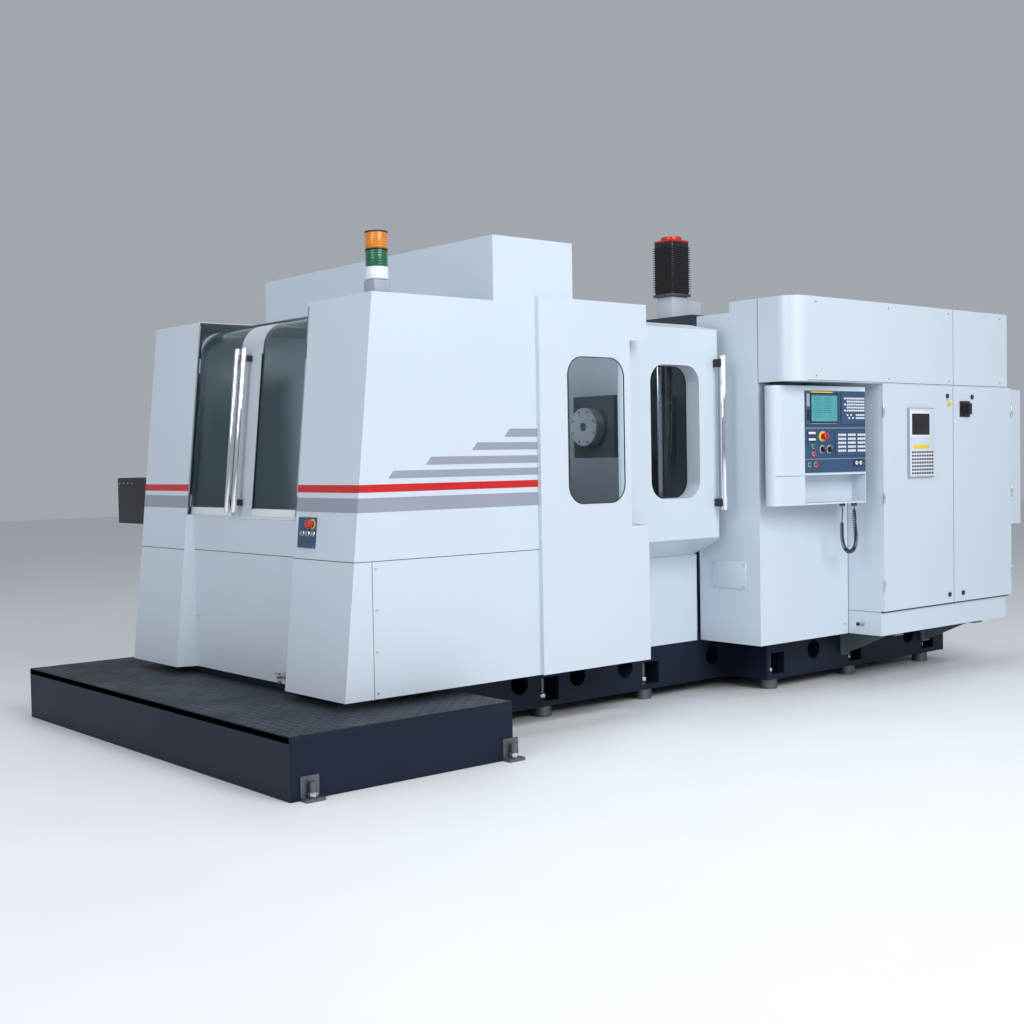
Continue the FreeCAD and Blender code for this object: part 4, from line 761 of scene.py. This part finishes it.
class MACHINE_OT_cover_trims(bpy.types.Operator):
    """Fit the covers' seams, screws, service cover, hose tap and window seals"""
    bl_idname = "machine.cover_trims"
    bl_label = "Cover trims"

    def execute(self, context):
        low, high = SPLIT
        seam("cover_seam_side", (lean_x(low), NEAR_FACE - 0.0007, low), (FRONT + 1.0, NEAR_FACE, high))
        seam("cover_seam_drop", (FRONT - 0.0022, NEAR_FACE - 0.0007, 0.300), (FRONT + 0.0002, NEAR_FACE, low))
        screws("cover_screws", [(FRONT + 0.018, NEAR_FACE - 0.002, height)
                                for height in (0.327, 0.514, 0.703, 0.891)], "y")
        screws("apron_screws", [(APRON_FACE - 0.002, CENTRE + side * 0.49, 0.575) for side in (-1, 1)], "x")
        seam("apron_seam", (APRON_FACE - 0.0008, CENTRE - APRON_HALF, low),
             (APRON_FACE, CENTRE + APRON_HALF, high))
        split = (low + high) / 2
        for name, side in SIDES:
            seam(f"{name}_pillar_split", (lean_x(split) - 0.0008, CENTRE + side * PILLAR[0], split - 0.0016),
                 (lean_x(split) + 0.0003, CENTRE + side * PILLAR[1], split + 0.0016))
        self.hose_tap(Vector((APRON_FACE, CENTRE - 0.40, 0.345)))
        self.service_cover()
        frame_ring("window_seal", *NEAR_WINDOW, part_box("window_panel")[0].y, 0.004, MACHINE)
        frame_ring("door_seal", *DOOR_WINDOW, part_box("operator_door_glass")[0].y, 0.006, "side_door")
        return {"FINISHED"}

    def hose_tap(self, spot):
        """A tap on the apron, with its spout down and a short lever."""
        for name, out, drop, axis, radius, length in (("flange", 0.004, 0, "x", 0.022, 0.008),
                                                      ("body", 0.030, 0, "x", 0.011, 0.046),
                                                      ("spout", 0.042, 0.020, "z", 0.009, 0.034)):
            turned("tap_" + name, spot - Vector((out, 0, drop)), axis, radius, length, "ground_steel", edge=0.002)
        blocks(spot, (("tap_lever", (-0.048, -0.006, 0.011), (-0.036, 0.038, 0.016), "red_plastic", 0.002),))

    def service_cover(self):
        """The small cover beside the door, and the seams beside the control's wall."""
        side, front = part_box("column_side_cover")[0].x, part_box("column_side_cover")[0].y
        low, high = Vector((side - 0.006, CENTRE - 1.097, 0.615)), Vector((side, CENTRE - 0.847, 0.770))
        block("service_cover", low, high, "body_paint", edge=0.003)
        screws("service_screws", [(side - 0.0075, across, height) for across in (low.y + 0.014, high.y - 0.014)
                                  for height in (low.z + 0.014, high.z - 0.014)], "x")
        seam("control_seam", (side, front - 0.0008, 1.7725), (FRONT + 3.345, front, 1.7765))
        seam("control_edge", (FRONT + 3.3365, front - 0.0008, 0.300), (FRONT + 3.3395, front, 1.776))


def frame_ring(name, width, height, face, band, body):
    """A rubber seal round a window: a plate with rounded corners, opened by an inset and given depth."""
    bpy.ops.object.select_all(action="DESELECT")
    left, right = FRONT + width[0], FRONT + width[1]
    low, high = height
    bpy.ops.mesh.primitive_plane_add(size=1, location=((left + right) / 2, face, (low + high) / 2),
                                     rotation=(math.pi / 2, 0, 0))
    piece = bpy.context.object
    piece.scale = (right - left, high - low, 1)
    apply_place()
    bpy.ops.object.mode_set(mode="EDIT")
    bpy.ops.mesh.select_all(action="SELECT")
    bpy.ops.mesh.bevel(offset=CORNER_RADIUS, segments=8, affect="VERTICES")
    bpy.ops.mesh.select_all(action="SELECT")
    bpy.ops.mesh.inset(thickness=band, use_even_offset=True)
    bpy.ops.mesh.delete(type="FACE")
    bpy.ops.object.mode_set(mode="OBJECT")
    modify(piece, "SOLIDIFY", thickness=0.006, offset=0)
    soften(piece, 0.0012)
    return settle(piece, name, body, "rubber")


# ---------------------------------------------------------------- step and base
BAR = (0.030, 0.0065, 0.0032)       # a raised bar's length, width and height
BAR_PITCH = 0.042
BASE_HALF, REAR_HALF = 0.740, 1.029     # half widths of the base's two stretches
NOTCH = (FRONT - 0.070, 0.7603)     # where the covers' foot stands in the step: from along, half width


def tread_bars(name, angle):
    """Every second raised bar of the step, turned by an angle, with tapered flanks."""
    low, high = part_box("tread_plate")
    model = cube_between(-Vector(BAR) / 2, Vector(BAR) / 2)
    model.rotation_euler = (0, 0, math.radians(angle))
    apply_place()
    for vertex in model.data.vertices:
        if vertex.co.z > 0:
            vertex.co.x *= 0.72
            vertex.co.y *= 0.72
    points = []
    for column in range(int((high.x - low.x) / BAR_PITCH)):
        for row in range(int((high.y - low.y) / BAR_PITCH)):
            spot = Vector((low.x + BAR_PITCH * (column + 0.6), low.y + BAR_PITCH * (row + 0.6), high.z))
            covered = spot.x > NOTCH[0] and abs(spot.y - CENTRE) < NOTCH[1]
            if (column + row) % 2 != (angle > 0) and not covered:
                points.append(spot)
    corners = [vertex.co.copy() for vertex in model.data.vertices]
    faces = [list(face.vertices) for face in model.data.polygons]
    whole = bpy.data.meshes.new(name)
    whole.from_pydata([tuple(point + corner) for point in points for corner in corners], [],
                      [[index * len(corners) + corner for corner in face]
                       for index in range(len(points)) for face in faces])
    model.data = whole
    settle(model, name, MACHINE, "tread_steel")


class MACHINE_OT_tread(bpy.types.Operator):
    """Cover the step with raised tread bars, in pairs that turn from one to the next"""
    bl_idname = "machine.tread"
    bl_label = "Tread bars"

    def execute(self, context):
        tread_bars("tread_bars_a", 45)
        tread_bars("tread_bars_b", -45)
        low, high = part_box("tread_plate")
        edge, proud = 0.008, 0.002
        bottom, top = high.z - 0.030, high.z + proud
        for name, start, end in (("front", (low.x, low.y), (low.x + edge, high.y)),
                                 ("near", (low.x, low.y - proud), (high.x, low.y + edge)),
                                 ("far", (low.x, high.y - edge), (high.x, high.y + proud))):
            block("step_nosing_" + name, (*start, bottom), (*end, top), "navy_paint", edge=0.003)
        return {"FINISHED"}


def hexagon(name, along, across, height, radius, depth):
    """A hexagonal nut standing upright."""
    return turned(name, (FRONT + along, across, height), "z", radius, depth, "ground_steel", edge=0.002, sides=6)


class MACHINE_OT_base_fittings(bpy.types.Operator):
    """Line the lifting holes and fit the levelling nuts and the anchors' nuts"""
    bl_idname = "machine.base_fittings"
    bl_label = "Base fittings"

    def execute(self, context):
        front, rear = BASE_HALF, REAR_HALF
        holes = ((1.135, front), (1.548, front), (1.910, front), (2.635, front), (3.217, rear), (4.200, rear))
        feet = ((0.300, front), (1.344, front), (2.112, front), (2.874, rear), (3.630, rear), (4.420, rear))
        join("hole_rims", [ring(f"hole_rim_{along}_{side}", (FRONT + along, CENTRE + side * reach, 0.200), "y",
                                0.0585, 0.0025, "navy_paint") for along, reach in holes for side in (-1, 1)])
        join("levelling_nuts", [hexagon(f"level_nut_{along}_{side}", along, CENTRE + side * (reach - 0.065),
                                        0.107, 0.027, 0.024) for along, reach in feet for side in (-1, 1)])
        join("anchor_nuts", [hexagon(f"anchor_nut_{along}", along, CENTRE - 1.4235, 0.026, 0.021, 0.020)
                             for along in (-0.560, 0.512)])
        return {"FINISHED"}


# ---------------------------------------------------------------- doors and their handles
GUARD_INSET, BAR_STAND = 0.020, 0.045       # the doors' panes behind the pillars' plane, the bars before them


def leaning_matrix(height, across, proud=0.0):
    """A frame on the pillars' leaning plane: local -X points out of the machine, local Z up the slope."""
    return (Matrix.Translation((lean_x(height), across, height)) @ Matrix.Rotation(math.atan(LEAN), 4, "Y")
            @ Matrix.Translation((-proud, 0, 0)))


class MACHINE_OT_setup_doors(bpy.types.Operator):
    """Sleeve the setup doors' chrome bars and fit their black brackets, seals, rails and sill"""
    bl_idname = "machine.setup_doors"
    bl_label = "Setup doors"

    def execute(self, context):
        for body, across in (("near_setup_door", 0.0052), ("far_setup_door", 0.074)):
            turned(body + "_bar", (0, 0, 0), "z", 0.0148, 0.830, "chrome", body=body, edge=0.003, sides=28,
                   turn=leaning_matrix(1.5425, CENTRE + across, BAR_STAND - GUARD_INSET))
            for end, height in (("low", 1.1795), ("high", 1.9055)):
                block(f"{body}_{end}_bracket", (-0.046, -0.0126, -0.0165), (-0.0005, 0.0126, 0.0165),
                      "black_plastic", body=body, edge=0.003, segments=3,
                      turn=leaning_matrix(height, CENTRE + across, -GUARD_INSET))
        for name, across in (("near", -0.1015), ("far", 0.1095)):
            block(name + "_pane_seal", (-0.003, -0.004, -0.40), (0.004, 0.004, 0.385), "rubber",
                  body=name + "_setup_door", turn=leaning_matrix(1.545, CENTRE + across, -GUARD_INSET - 0.001))
        for name, low, high in (("near", -0.56, -0.100), ("far", 0.110, 0.56)):
            block(name + "_bottom_rail", (-0.0012, low, -0.0195), (0.0, high, 0.0175), "white_plastic",
                  body=name + "_setup_door", edge=0.0005, turn=leaning_matrix(1.1325, CENTRE, -GUARD_INSET))
        block("sill_lip", (APRON_FACE - 0.004, CENTRE - APRON_HALF, 1.098),
              (APRON_FACE + 0.001, CENTRE + APRON_HALF, 1.1105), "body_paint", edge=0.002)
        self.frame_trims()
        return {"FINISHED"}

    def frame_trims(self):
        """The grey frame strips and black seals beside the opening, open where the brackets pass."""
        for name, side in SIDES:
            spot = leaning_matrix(1.62, CENTRE + side * PILLAR[0])
            for level, low, high in (("low", -0.505, -0.470), ("middle", -0.405, 0.245), ("high", 0.325, 0.500)):
                block(f"{name}_frame_strip_{level}", (-0.001, 0, low), (0.012, -side * 0.011, high),
                      "grey_stripe", turn=spot)
                block(f"{name}_frame_seal_{level}", (0.002, -side * 0.011, low), (0.013, -side * 0.018, high),
                      "rubber", turn=spot)


def window_corners(name, width, height, front, back, slot, body):
    """The rounded corners of a window opening: a block in each, hollowed by a cylinder."""
    pieces = []
    for along, inward in ((FRONT + width[0], 1), (FRONT + width[1], -1)):
        for level, upward in ((height[0], 1), (height[1], -1)):
            inner = Vector((along + inward * CORNER_RADIUS, back, level + upward * CORNER_RADIUS))
            corner = block(name, (along, front, level), inner, slot, body=body, edge=0)
            bpy.ops.object.select_all(action="DESELECT")
            bpy.ops.mesh.primitive_cylinder_add(vertices=96, radius=CORNER_RADIUS, depth=0.4, location=inner,
                                                rotation=(math.pi / 2, 0, 0))
            cutter = bpy.context.object
            apply_place()
            pick(corner)
            modify(corner, "BOOLEAN", operation="DIFFERENCE", object=cutter)
            bpy.data.objects.remove(cutter)
            pieces.append(corner)
    join(name, pieces)
    bpy.ops.object.shade_smooth_by_angle(angle=math.radians(35))


class MACHINE_OT_side_door(bpy.types.Operator):
    """Finish the operator's door: chrome bar, black brackets, window corners and reveal"""
    bl_idname = "machine.side_door"
    bl_label = "Operator's door"

    def execute(self, context):
        body, face = "side_door", CENTRE - 0.985
        along, across = FRONT + 2.411, face - 0.060
        turned("side_door_bar", (along, across, 1.5015), "z", 0.0178, 0.866, "chrome", body=body, edge=0.003)
        for end, height in (("low", 1.110), ("high", 1.893)):
            block(f"side_door_{end}_bracket", (along - 0.021, across - 0.004, height - 0.023),
                  (along + 0.014, face, height + 0.023), "black_plastic", body=body, edge=0.007, segments=3)
        window_corners("door_window_corners", *DOOR_WINDOW, face + 0.0002, face + 0.003, "body_paint", body)
        window_corners("door_reveal_corners", *DOOR_WINDOW, face + 0.003, face + 0.0985, "frame_paint", body)
        low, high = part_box("operator_door_glass")
        block("reveal_right", (high.x - 0.0035, face + 0.001, 1.1425), (high.x - 0.0032, low.y, 1.8745),
              "frame_paint", body=body, edge=0)
        block("reveal_low", (low.x + 0.0035, face + 0.001, 1.1425), (high.x - 0.0035, low.y, 1.1430),
              "frame_paint", body=body, edge=0)
        return {"FINISHED"}


# ---------------------------------------------------------------- setup station's plate
PLATE_DEPTH = 0.008     # thickness of the setup station's plate


class MACHINE_OT_setup_station(bpy.types.Operator):
    """Fit the stop's yellow ring and dome, the buttons' rims and the plate's screws"""
    bl_idname = "machine.setup_station"
    bl_label = "Setup station"

    def execute(self, context):
        stop = sum(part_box("setup_estop"), Vector()) / 2
        turn = leaning_matrix(stop.z - 0.0024, stop.y, PLATE_DEPTH)
        ring("setup_stop_ring", (-0.001, 0, 0), "x", 0.0185, 0.0058, "yellow_plastic",
             turn=turn @ Matrix.Diagonal((0.3, 1, 1, 1)))
        turned("setup_stop_dome", (-0.0315, 0, 0), "x", 0.0165, 0.005, "red_plastic", body="setup_stop",
               edge=0.002, turn=turn, top=0.0205, segments=4)
        turned("setup_stop_stem", (-0.0125, 0, 0), "x", 0.0102, 0.010, "white_plastic", body="setup_stop",
               turn=turn)
        for number in (1, 2, 3):
            centre = sum(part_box(f"setup_button_{number}"), Vector()) / 2
            ring(f"button_rim_{number}", (-0.0012, 0, 0), "x", 0.0125, 0.0018, "chrome",
                 turn=leaning_matrix(centre.z - 0.0005, centre.y, PLATE_DEPTH))
        plate = sum(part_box("setup_box"), Vector()) / 2
        for side in (-1, 1):
            screws(f"setup_plate_screws_{side + 1}", [(-0.001, side * 0.068, -0.064)], "x", radius=0.0032,
                   turn=leaning_matrix(1.0485, plate.y, PLATE_DEPTH))
        return {"FINISHED"}


# ---------------------------------------------------------------- cabinet, overhead box and exchanger
LEFT_DOOR, RIGHT_DOOR = "left_cabinet_door", "right_cabinet_door"


class MACHINE_OT_cabinet(bpy.types.Operator):
    """Fit the cabinet's locks, key, cooler, switch plate, seams, hinges and the exchanger's slots"""
    bl_idname = "machine.cabinet"
    bl_label = "Electrical cabinet"

    def execute(self, context):
        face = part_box("cabinet_door_left")[0].y
        on_doors = Vector((FRONT, face, 0))
        self.cooler()
        self.side_fittings()
        for name, body, along, height in (("key_lock", LEFT_DOOR, 4.004, 1.714),
                                          ("left_lock", LEFT_DOOR, 4.018, 0.496),
                                          ("right_lock", RIGHT_DOOR, 4.167, 0.496),
                                          ("upper_lock", RIGHT_DOOR, 4.277, 1.712)):
            spot = on_doors + Vector((along, 0, height))
            turned(name, spot - Vector((0, 0.004, 0)), "y", 0.0145, 0.008, "black_plastic", body=body, edge=0.002)
            blocks(spot, ((name + "_slot", (-0.0015, -0.0095, -0.006), (0.0015, -0.0078, 0.006), "ground_steel",
                           0.0004),), body)
        key = on_doors + Vector((4.004, 0, 1.714))
        turned("key_bow", key + Vector((0, -0.018, -0.004)), "x", 0.011, 0.0022, "chrome", body=LEFT_DOOR,
               edge=0.0006)
        ring("key_ring", key + Vector((0, -0.016, -0.024)), "x", 0.013, 0.0009, "chrome", body=LEFT_DOOR)
        turned("key_tag", key + Vector((0.001, -0.016, -0.050)), "x", 0.014, 0.002, "yellow_plastic",
               body=LEFT_DOOR, edge=0.0006)
        screws("cabinet_screws", [(FRONT + 3.300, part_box("column_side_cover")[0].y - 0.002, height)
                                  for height in (0.360, 1.040, 1.720)], "y")
        blocks(on_doors, (("switch_plate", (4.140, -0.004, 1.587), (4.253, 0, 1.685), "black_plastic", 0.0015),),
               RIGHT_DOOR)
        blocks(on_doors, (("switch_pointer", (4.194, -0.0449, 1.640), (4.198, -0.0440, 1.668), "red_plastic",
                           0.0006),), "main_switch")
        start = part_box("cabinet_door_left")[1].x
        block("door_gap", (start - 0.0030, face - 0.0006, 0.448), (start - 0.0002, face, 1.772), "rubber",
              body=LEFT_DOOR, edge=0)
        blocks(on_doors, (("skirt_seam", (3.340, 0.0212, 0.4425), (4.700, 0.0220, 0.4455), "black_plastic",
                           0.0003),))
        for side, body, along in (("left", LEFT_DOOR, 3.3408), ("right", RIGHT_DOOR, 4.7342)):
            model = turned(side + "_hinges", on_doors + Vector((along, -0.004, 0.60)), "z", 0.006, 0.070,
                           "ground_steel", body=body, edge=0.0015, sides=20)
            repeat(side + "_hinges", model, [Vector((0, 0, 0.51 * number)) for number in (1, 2)])
        low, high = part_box("heat_exchanger")
        for name, height in (("low", low.z + 0.070), ("high", high.z - 0.310)):
            slots(f"exchanger_{name}_slots", (high.x - 0.0008, low.y + 0.040, height),
                  (high.x - 0.0001, high.y - 0.040, height + 0.008), 0.0003, 0.022)
        return {"FINISHED"}

    def side_fittings(self):
        """The cabinet's side seam, a black strip of painted shadow under its doors, and the air fitting in its
        side.
        """
        low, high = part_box("cabinet_shell")
        seam("cabinet_side_seam", (low.x - 0.0007, CENTRE - 1.4265, 0.4375), (low.x, CENTRE - 1.1965, 0.4400))
        # painted shadow: a thin black strip along the shell's front under the doors, standing in for the shade
        # beneath them
        seam("cabinet_foot_painted_shadow", (low.x + 0.001, low.y - 0.0010, 0.4330), (high.x - 0.001, low.y, 0.4438))
        for name, out, radius, length, slot in (("flange", 0.004, 0.015, 0.008, "ground_steel"),
                                                ("body", 0.025, 0.009, 0.042, "ground_steel"),
                                                ("cap", 0.051, 0.0110, 0.014, "black_plastic")):
            turned("air_fitting_" + name, (low.x - out, CENTRE - 1.300, 0.367), "x", radius, length, slot,
                   edge=0.002)

    def cooler(self):
        """The cooler's face, window, strip and punched grille."""
        low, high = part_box("cabinet_cooler")
        block("cooler_face", (low.x + 0.004, low.y - 0.004, low.z + 0.004),
              (high.x - 0.004, low.y, high.z - 0.004), "body_paint", body=LEFT_DOOR, edge=0.003)
        hole = blocks((FRONT, low.y, 0), (
            ("cooler_window", (3.600, -0.006, 1.476), (3.784, -0.002, 1.604), "black_plastic", 0.002),
            ("cooler_readout", (3.618, -0.0066, 1.520), (3.700, -0.005, 1.578), "rubber", 0.0006),
            ("cooler_strip", (3.617, -0.0052, 1.395), (3.781, -0.003, 1.417), "yellow_plastic", 0.0006),
            ("cooler_grille", (3.590, -0.006, 1.236), (3.826, -0.003, 1.388), "white_plastic", 0.001),
            ("cooler_frame", (3.588, -0.0055, 1.462), (3.796, -0.003, 1.618), "white_plastic", 0.001),
            ("cooler_holes", (3.5975, -0.0066, 1.2425), (3.6160, -0.005, 1.2550), "black_plastic", 0.0004)),
            LEFT_DOOR)[-1]
        columns, rows, pitch_along, pitch_high = 9, 7, 0.0255, 0.0208
        repeat("cooler_holes", hole, [Vector((pitch_along * column, 0, pitch_high * row))
                                      for column in range(columns) for row in range(rows) if column or row])


def slots(name, low, high, edge, pitch, count=12):
    """A column of dark ventilation slots."""
    model = block(name, low, high, "black_plastic", edge=edge)
    repeat(name, model, [Vector((0, 0, pitch * number)) for number in range(1, count)])


class MACHINE_OT_overhead(bpy.types.Operator):
    """Fit the overhead box's seams and screws, and the hood's seam"""
    bl_idname = "machine.overhead"
    bl_label = "Overhead box and hood"

    def execute(self, context):
        low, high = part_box("overhead_box")
        seam("overhead_seam_side", (low.x - 0.0008, CENTRE - 1.1975, low.z), (low.x, CENTRE - 1.1945, high.z))
        seam("overhead_seam_low", (low.x + 0.115, low.y - 0.0008, low.z + 0.004),
             (high.x - 0.004, low.y, low.z + 0.0065))
        seam("overhead_join", (FRONT + 4.070, low.y - 0.0008, low.z), (FRONT + 4.0725, low.y, high.z))
        screws("overhead_screws", [(FRONT + along, low.y - 0.002, height) for along in (2.72, 3.40, 4.02, 4.60)
                                   for height in (low.z + 0.03, high.z - 0.03)], "y")
        low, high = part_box("hood_box")
        seam("hood_seam", (low.x - 0.0008, CENTRE - 0.0015, low.z), (low.x, CENTRE + 0.0015, high.z))
        return {"FINISHED"}


# ---------------------------------------------------------------- signal tower and servo motor
class MACHINE_OT_signal_tower(bpy.types.Operator):
    """Model the signal tower: foot, collar, ribbed green and amber lenses and their bands"""
    bl_idname = "machine.signal_tower"
    bl_label = "Signal tower"

    def execute(self, context):
        low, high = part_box("signal_tower")
        foot = Vector(((low.x + high.x) / 2, (low.y + high.y) / 2, low.z))

        def drum(name, height, radius, depth, slot, edge, segments=2):
            """A round stage of the tower."""
            return turned(name, foot + Vector((0, 0, height)), "z", radius, depth, slot, edge=edge, sides=48,
                          segments=segments)

        base, = blocks(foot, (("tower_foot", (-0.045, -0.045, 0), (0.045, 0.045, 0.060), "grey_plastic", 0.006,
                               3),))
        drum("tower_collar", 0.090, 0.0525, 0.058, "white_plastic", 0.006, 3)
        for name, slot, start in (("green", "green_plastic", 0.120), ("amber", "amber_lens", 0.200)):
            drum(name + "_lens", start + 0.037, 0.0490, 0.074, slot, 0.003)
            join(name + "_ribs", [drum(f"{name}_rib_{number}", start + 0.008 + 0.0115 * number, 0.0525, 0.0055,
                                       slot, 0.0022) for number in range(6)])
            drum(name + "_band", start + 0.0765, 0.0527, 0.0055, "black_plastic", 0.0012)
        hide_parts("signal_tower")
        return {"FINISHED"}


class MACHINE_OT_servo_motor(bpy.types.Operator):
    """Model the head's servo motor: lantern, flange, finned body, red cap and plug"""
    bl_idname = "machine.servo_motor"
    bl_label = "Head servo motor"

    def execute(self, context):
        body = "column_slide"
        low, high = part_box("head_servo_motor")
        middle = Vector((low.x + 0.086, CENTRE, 0))

        def square(name, half, bottom, top, slot, edge, segments=2):
            """A square stage of the motor."""
            return block(name, middle + Vector((-half, -half, bottom)), middle + Vector((half, half, top)), slot,
                         body=body, edge=edge, segments=segments)

        lantern = square("motor_lantern", 0.069, low.z, 2.403, "frame_paint", 0.004)
        square("motor_flange", 0.086, 2.403, 2.421, "dark_steel", 0.002)
        square("motor_body", 0.080, 2.421, 2.762, "black_plastic", 0.010, 3)
        rib = square("motor_ribs", 0.0855, 2.440, 2.445, "black_plastic", 0.0015)
        repeat("motor_ribs", rib, [Vector((0, 0, 0.0145 * number)) for number in range(1, 20)])
        turned("motor_cap", middle + Vector((0, 0, 2.776)), "z", 0.0685, 0.027, "red_plastic", body=body,
               edge=0.008, sides=48, segments=4)
        square("motor_cap_plate", 0.080, 2.752, 2.766, "red_plastic", 0.004)
        block("motor_plug", (middle.x + 0.070, CENTRE - 0.034, low.z), (high.x, CENTRE + 0.034, 2.385),
              "frame_paint", body=body, edge=0.006, segments=3)
        turned("motor_lead", middle + Vector((0.100, 0, 2.400)), "z", 0.014, 0.030, "rubber", body=body,
               edge=0.003)
        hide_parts("head_servo_motor")
        return {"FINISHED"}


# ---------------------------------------------------------------- inside the machine, conveyor and rear
class MACHINE_OT_interior(bpy.types.Operator):
    """Fit the way cover's folds, the spindle nose's bolts, hoses and the rail beside the door"""
    bl_idname = "machine.interior"
    bl_label = "Working area"

    def execute(self, context):
        low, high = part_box("spindle")
        centre = Vector((low.x - 0.001, (low.y + high.y) / 2, (low.z + high.z) / 2))
        bolts = []
        for number in range(8):
            angle = math.radians(22.5 + 45 * number)
            spot = centre + 0.098 * Vector((0, math.cos(angle), math.sin(angle)))
            bolts.append(turned(f"nose_bolt_{number}", spot, "x", 0.0065, 0.008, "dark_steel",
                                body="spindle_rotor", sides=12))
        join("nose_bolts", bolts)
        low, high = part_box("column_way_cover")
        fold = block("way_folds", (low.x - 0.0022, low.y + 0.010, low.z + 0.010),
                     (low.x, low.y + 0.022, high.z - 0.010), "stainless", edge=0.0008)
        repeat("way_folds", fold, [Vector((0, (high.y - low.y) * share, 0))
                                   for share in (0.05, 0.10, 0.87, 0.92, 0.965)])
        self.rail()
        return {"FINISHED"}

    def rail(self):
        """A rail and two hoses behind the door's glass."""
        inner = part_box("operator_door_glass")[1].y + 0.060
        block("punched_rail", (FRONT + 2.120, inner, 1.00), (FRONT + 2.150, inner + 0.010, 1.95), "stainless")
        for name, along, radius in (("coolant_hose", 2.215, 0.014), ("air_hose", 2.245, 0.009)):
            path = [(FRONT + along + sway, inner + out, height) for sway, out, height in
                    ((0, 0.020, 0.98), (-0.015, 0.030, 1.30), (0.012, 0.024, 1.60), (0, 0.020, 1.92))]
            settle(spline(name, path, radius), name, MACHINE, "rubber")


class MACHINE_OT_rear(bpy.types.Operator):
    """Finish the conveyor head, the rear and far covers: slots, seams and screws"""
    bl_idname = "machine.rear"
    bl_label = "Conveyor and rear"

    def execute(self, context):
        low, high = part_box("rear_covers")
        for name, share in (("rear_near", 0.22), ("rear_far", 0.72)):
            across = low.y + (high.y - low.y) * share
            slots(name + "_slots", (high.x - 0.0005, across - 0.12, 1.20),
                  (high.x + 0.0012, across + 0.12, 1.206), 0.0004, 0.020, 13)
        low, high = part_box("far_side_covers")
        for name, along in (("far_seam_one", 1.60), ("far_seam_two", 3.10)):
            seam(name, (FRONT + along, high.y - 0.0002, low.z + 0.02),
                 (FRONT + along + 0.003, high.y + 0.0008, high.z - 0.02))
        low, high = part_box("chip_conveyor")
        screws("conveyor_screws", [(low.x - 0.0012, high.y - 0.030 - 0.055 * number, 1.27)
                                   for number in range(4)], "x")
        return {"FINISHED"}


# ---------------------------------------------------------------- panel and registration
STEPS = ("finishes", "stage", "curly_cord", "pendant", "stripes", "cover_trims", "tread", "base_fittings",
         "setup_doors", "side_door", "setup_station", "cabinet", "overhead", "signal_tower", "servo_motor",
         "interior", "rear")


class MACHINE_PT_parts(bpy.types.Panel):
    """One button for each piece of the machine"""
    bl_idname = "MACHINE_PT_parts"
    bl_label = "Machining centre"
    bl_space_type = "VIEW_3D"
    bl_region_type = "UI"
    bl_category = "Machine"

    def draw(self, context):
        layout = self.layout
        for group in (context.scene.machine_finish, context.scene.machine_cord, context.scene.machine_stage):
            box = layout.box()
            for name in group.__annotations__:
                box.prop(group, name)
        for step in STEPS:
            layout.operator("machine." + step)


CLASSES = (FinishSettings, CordSettings, StageSettings, MACHINE_OT_finishes, MACHINE_OT_stage,
           MACHINE_OT_curly_cord, MACHINE_OT_pendant, MACHINE_OT_stripes, MACHINE_OT_cover_trims,
           MACHINE_OT_tread, MACHINE_OT_base_fittings, MACHINE_OT_setup_doors, MACHINE_OT_side_door,
           MACHINE_OT_setup_station, MACHINE_OT_cabinet, MACHINE_OT_overhead, MACHINE_OT_signal_tower,
           MACHINE_OT_servo_motor, MACHINE_OT_interior, MACHINE_OT_rear, MACHINE_PT_parts)


def register():
    for item in CLASSES:
        bpy.utils.register_class(item)
    bpy.types.Scene.machine_finish = bpy.props.PointerProperty(type=FinishSettings)
    bpy.types.Scene.machine_cord = bpy.props.PointerProperty(type=CordSettings)
    bpy.types.Scene.machine_stage = bpy.props.PointerProperty(type=StageSettings)


def unregister():
    del bpy.types.Scene.machine_stage
    del bpy.types.Scene.machine_cord
    del bpy.types.Scene.machine_finish
    for item in reversed(CLASSES):
        bpy.utils.unregister_class(item)


def main():
    register()
    for step in STEPS:
        getattr(bpy.ops.machine, step)()


if __name__ == "__main__":
    main()
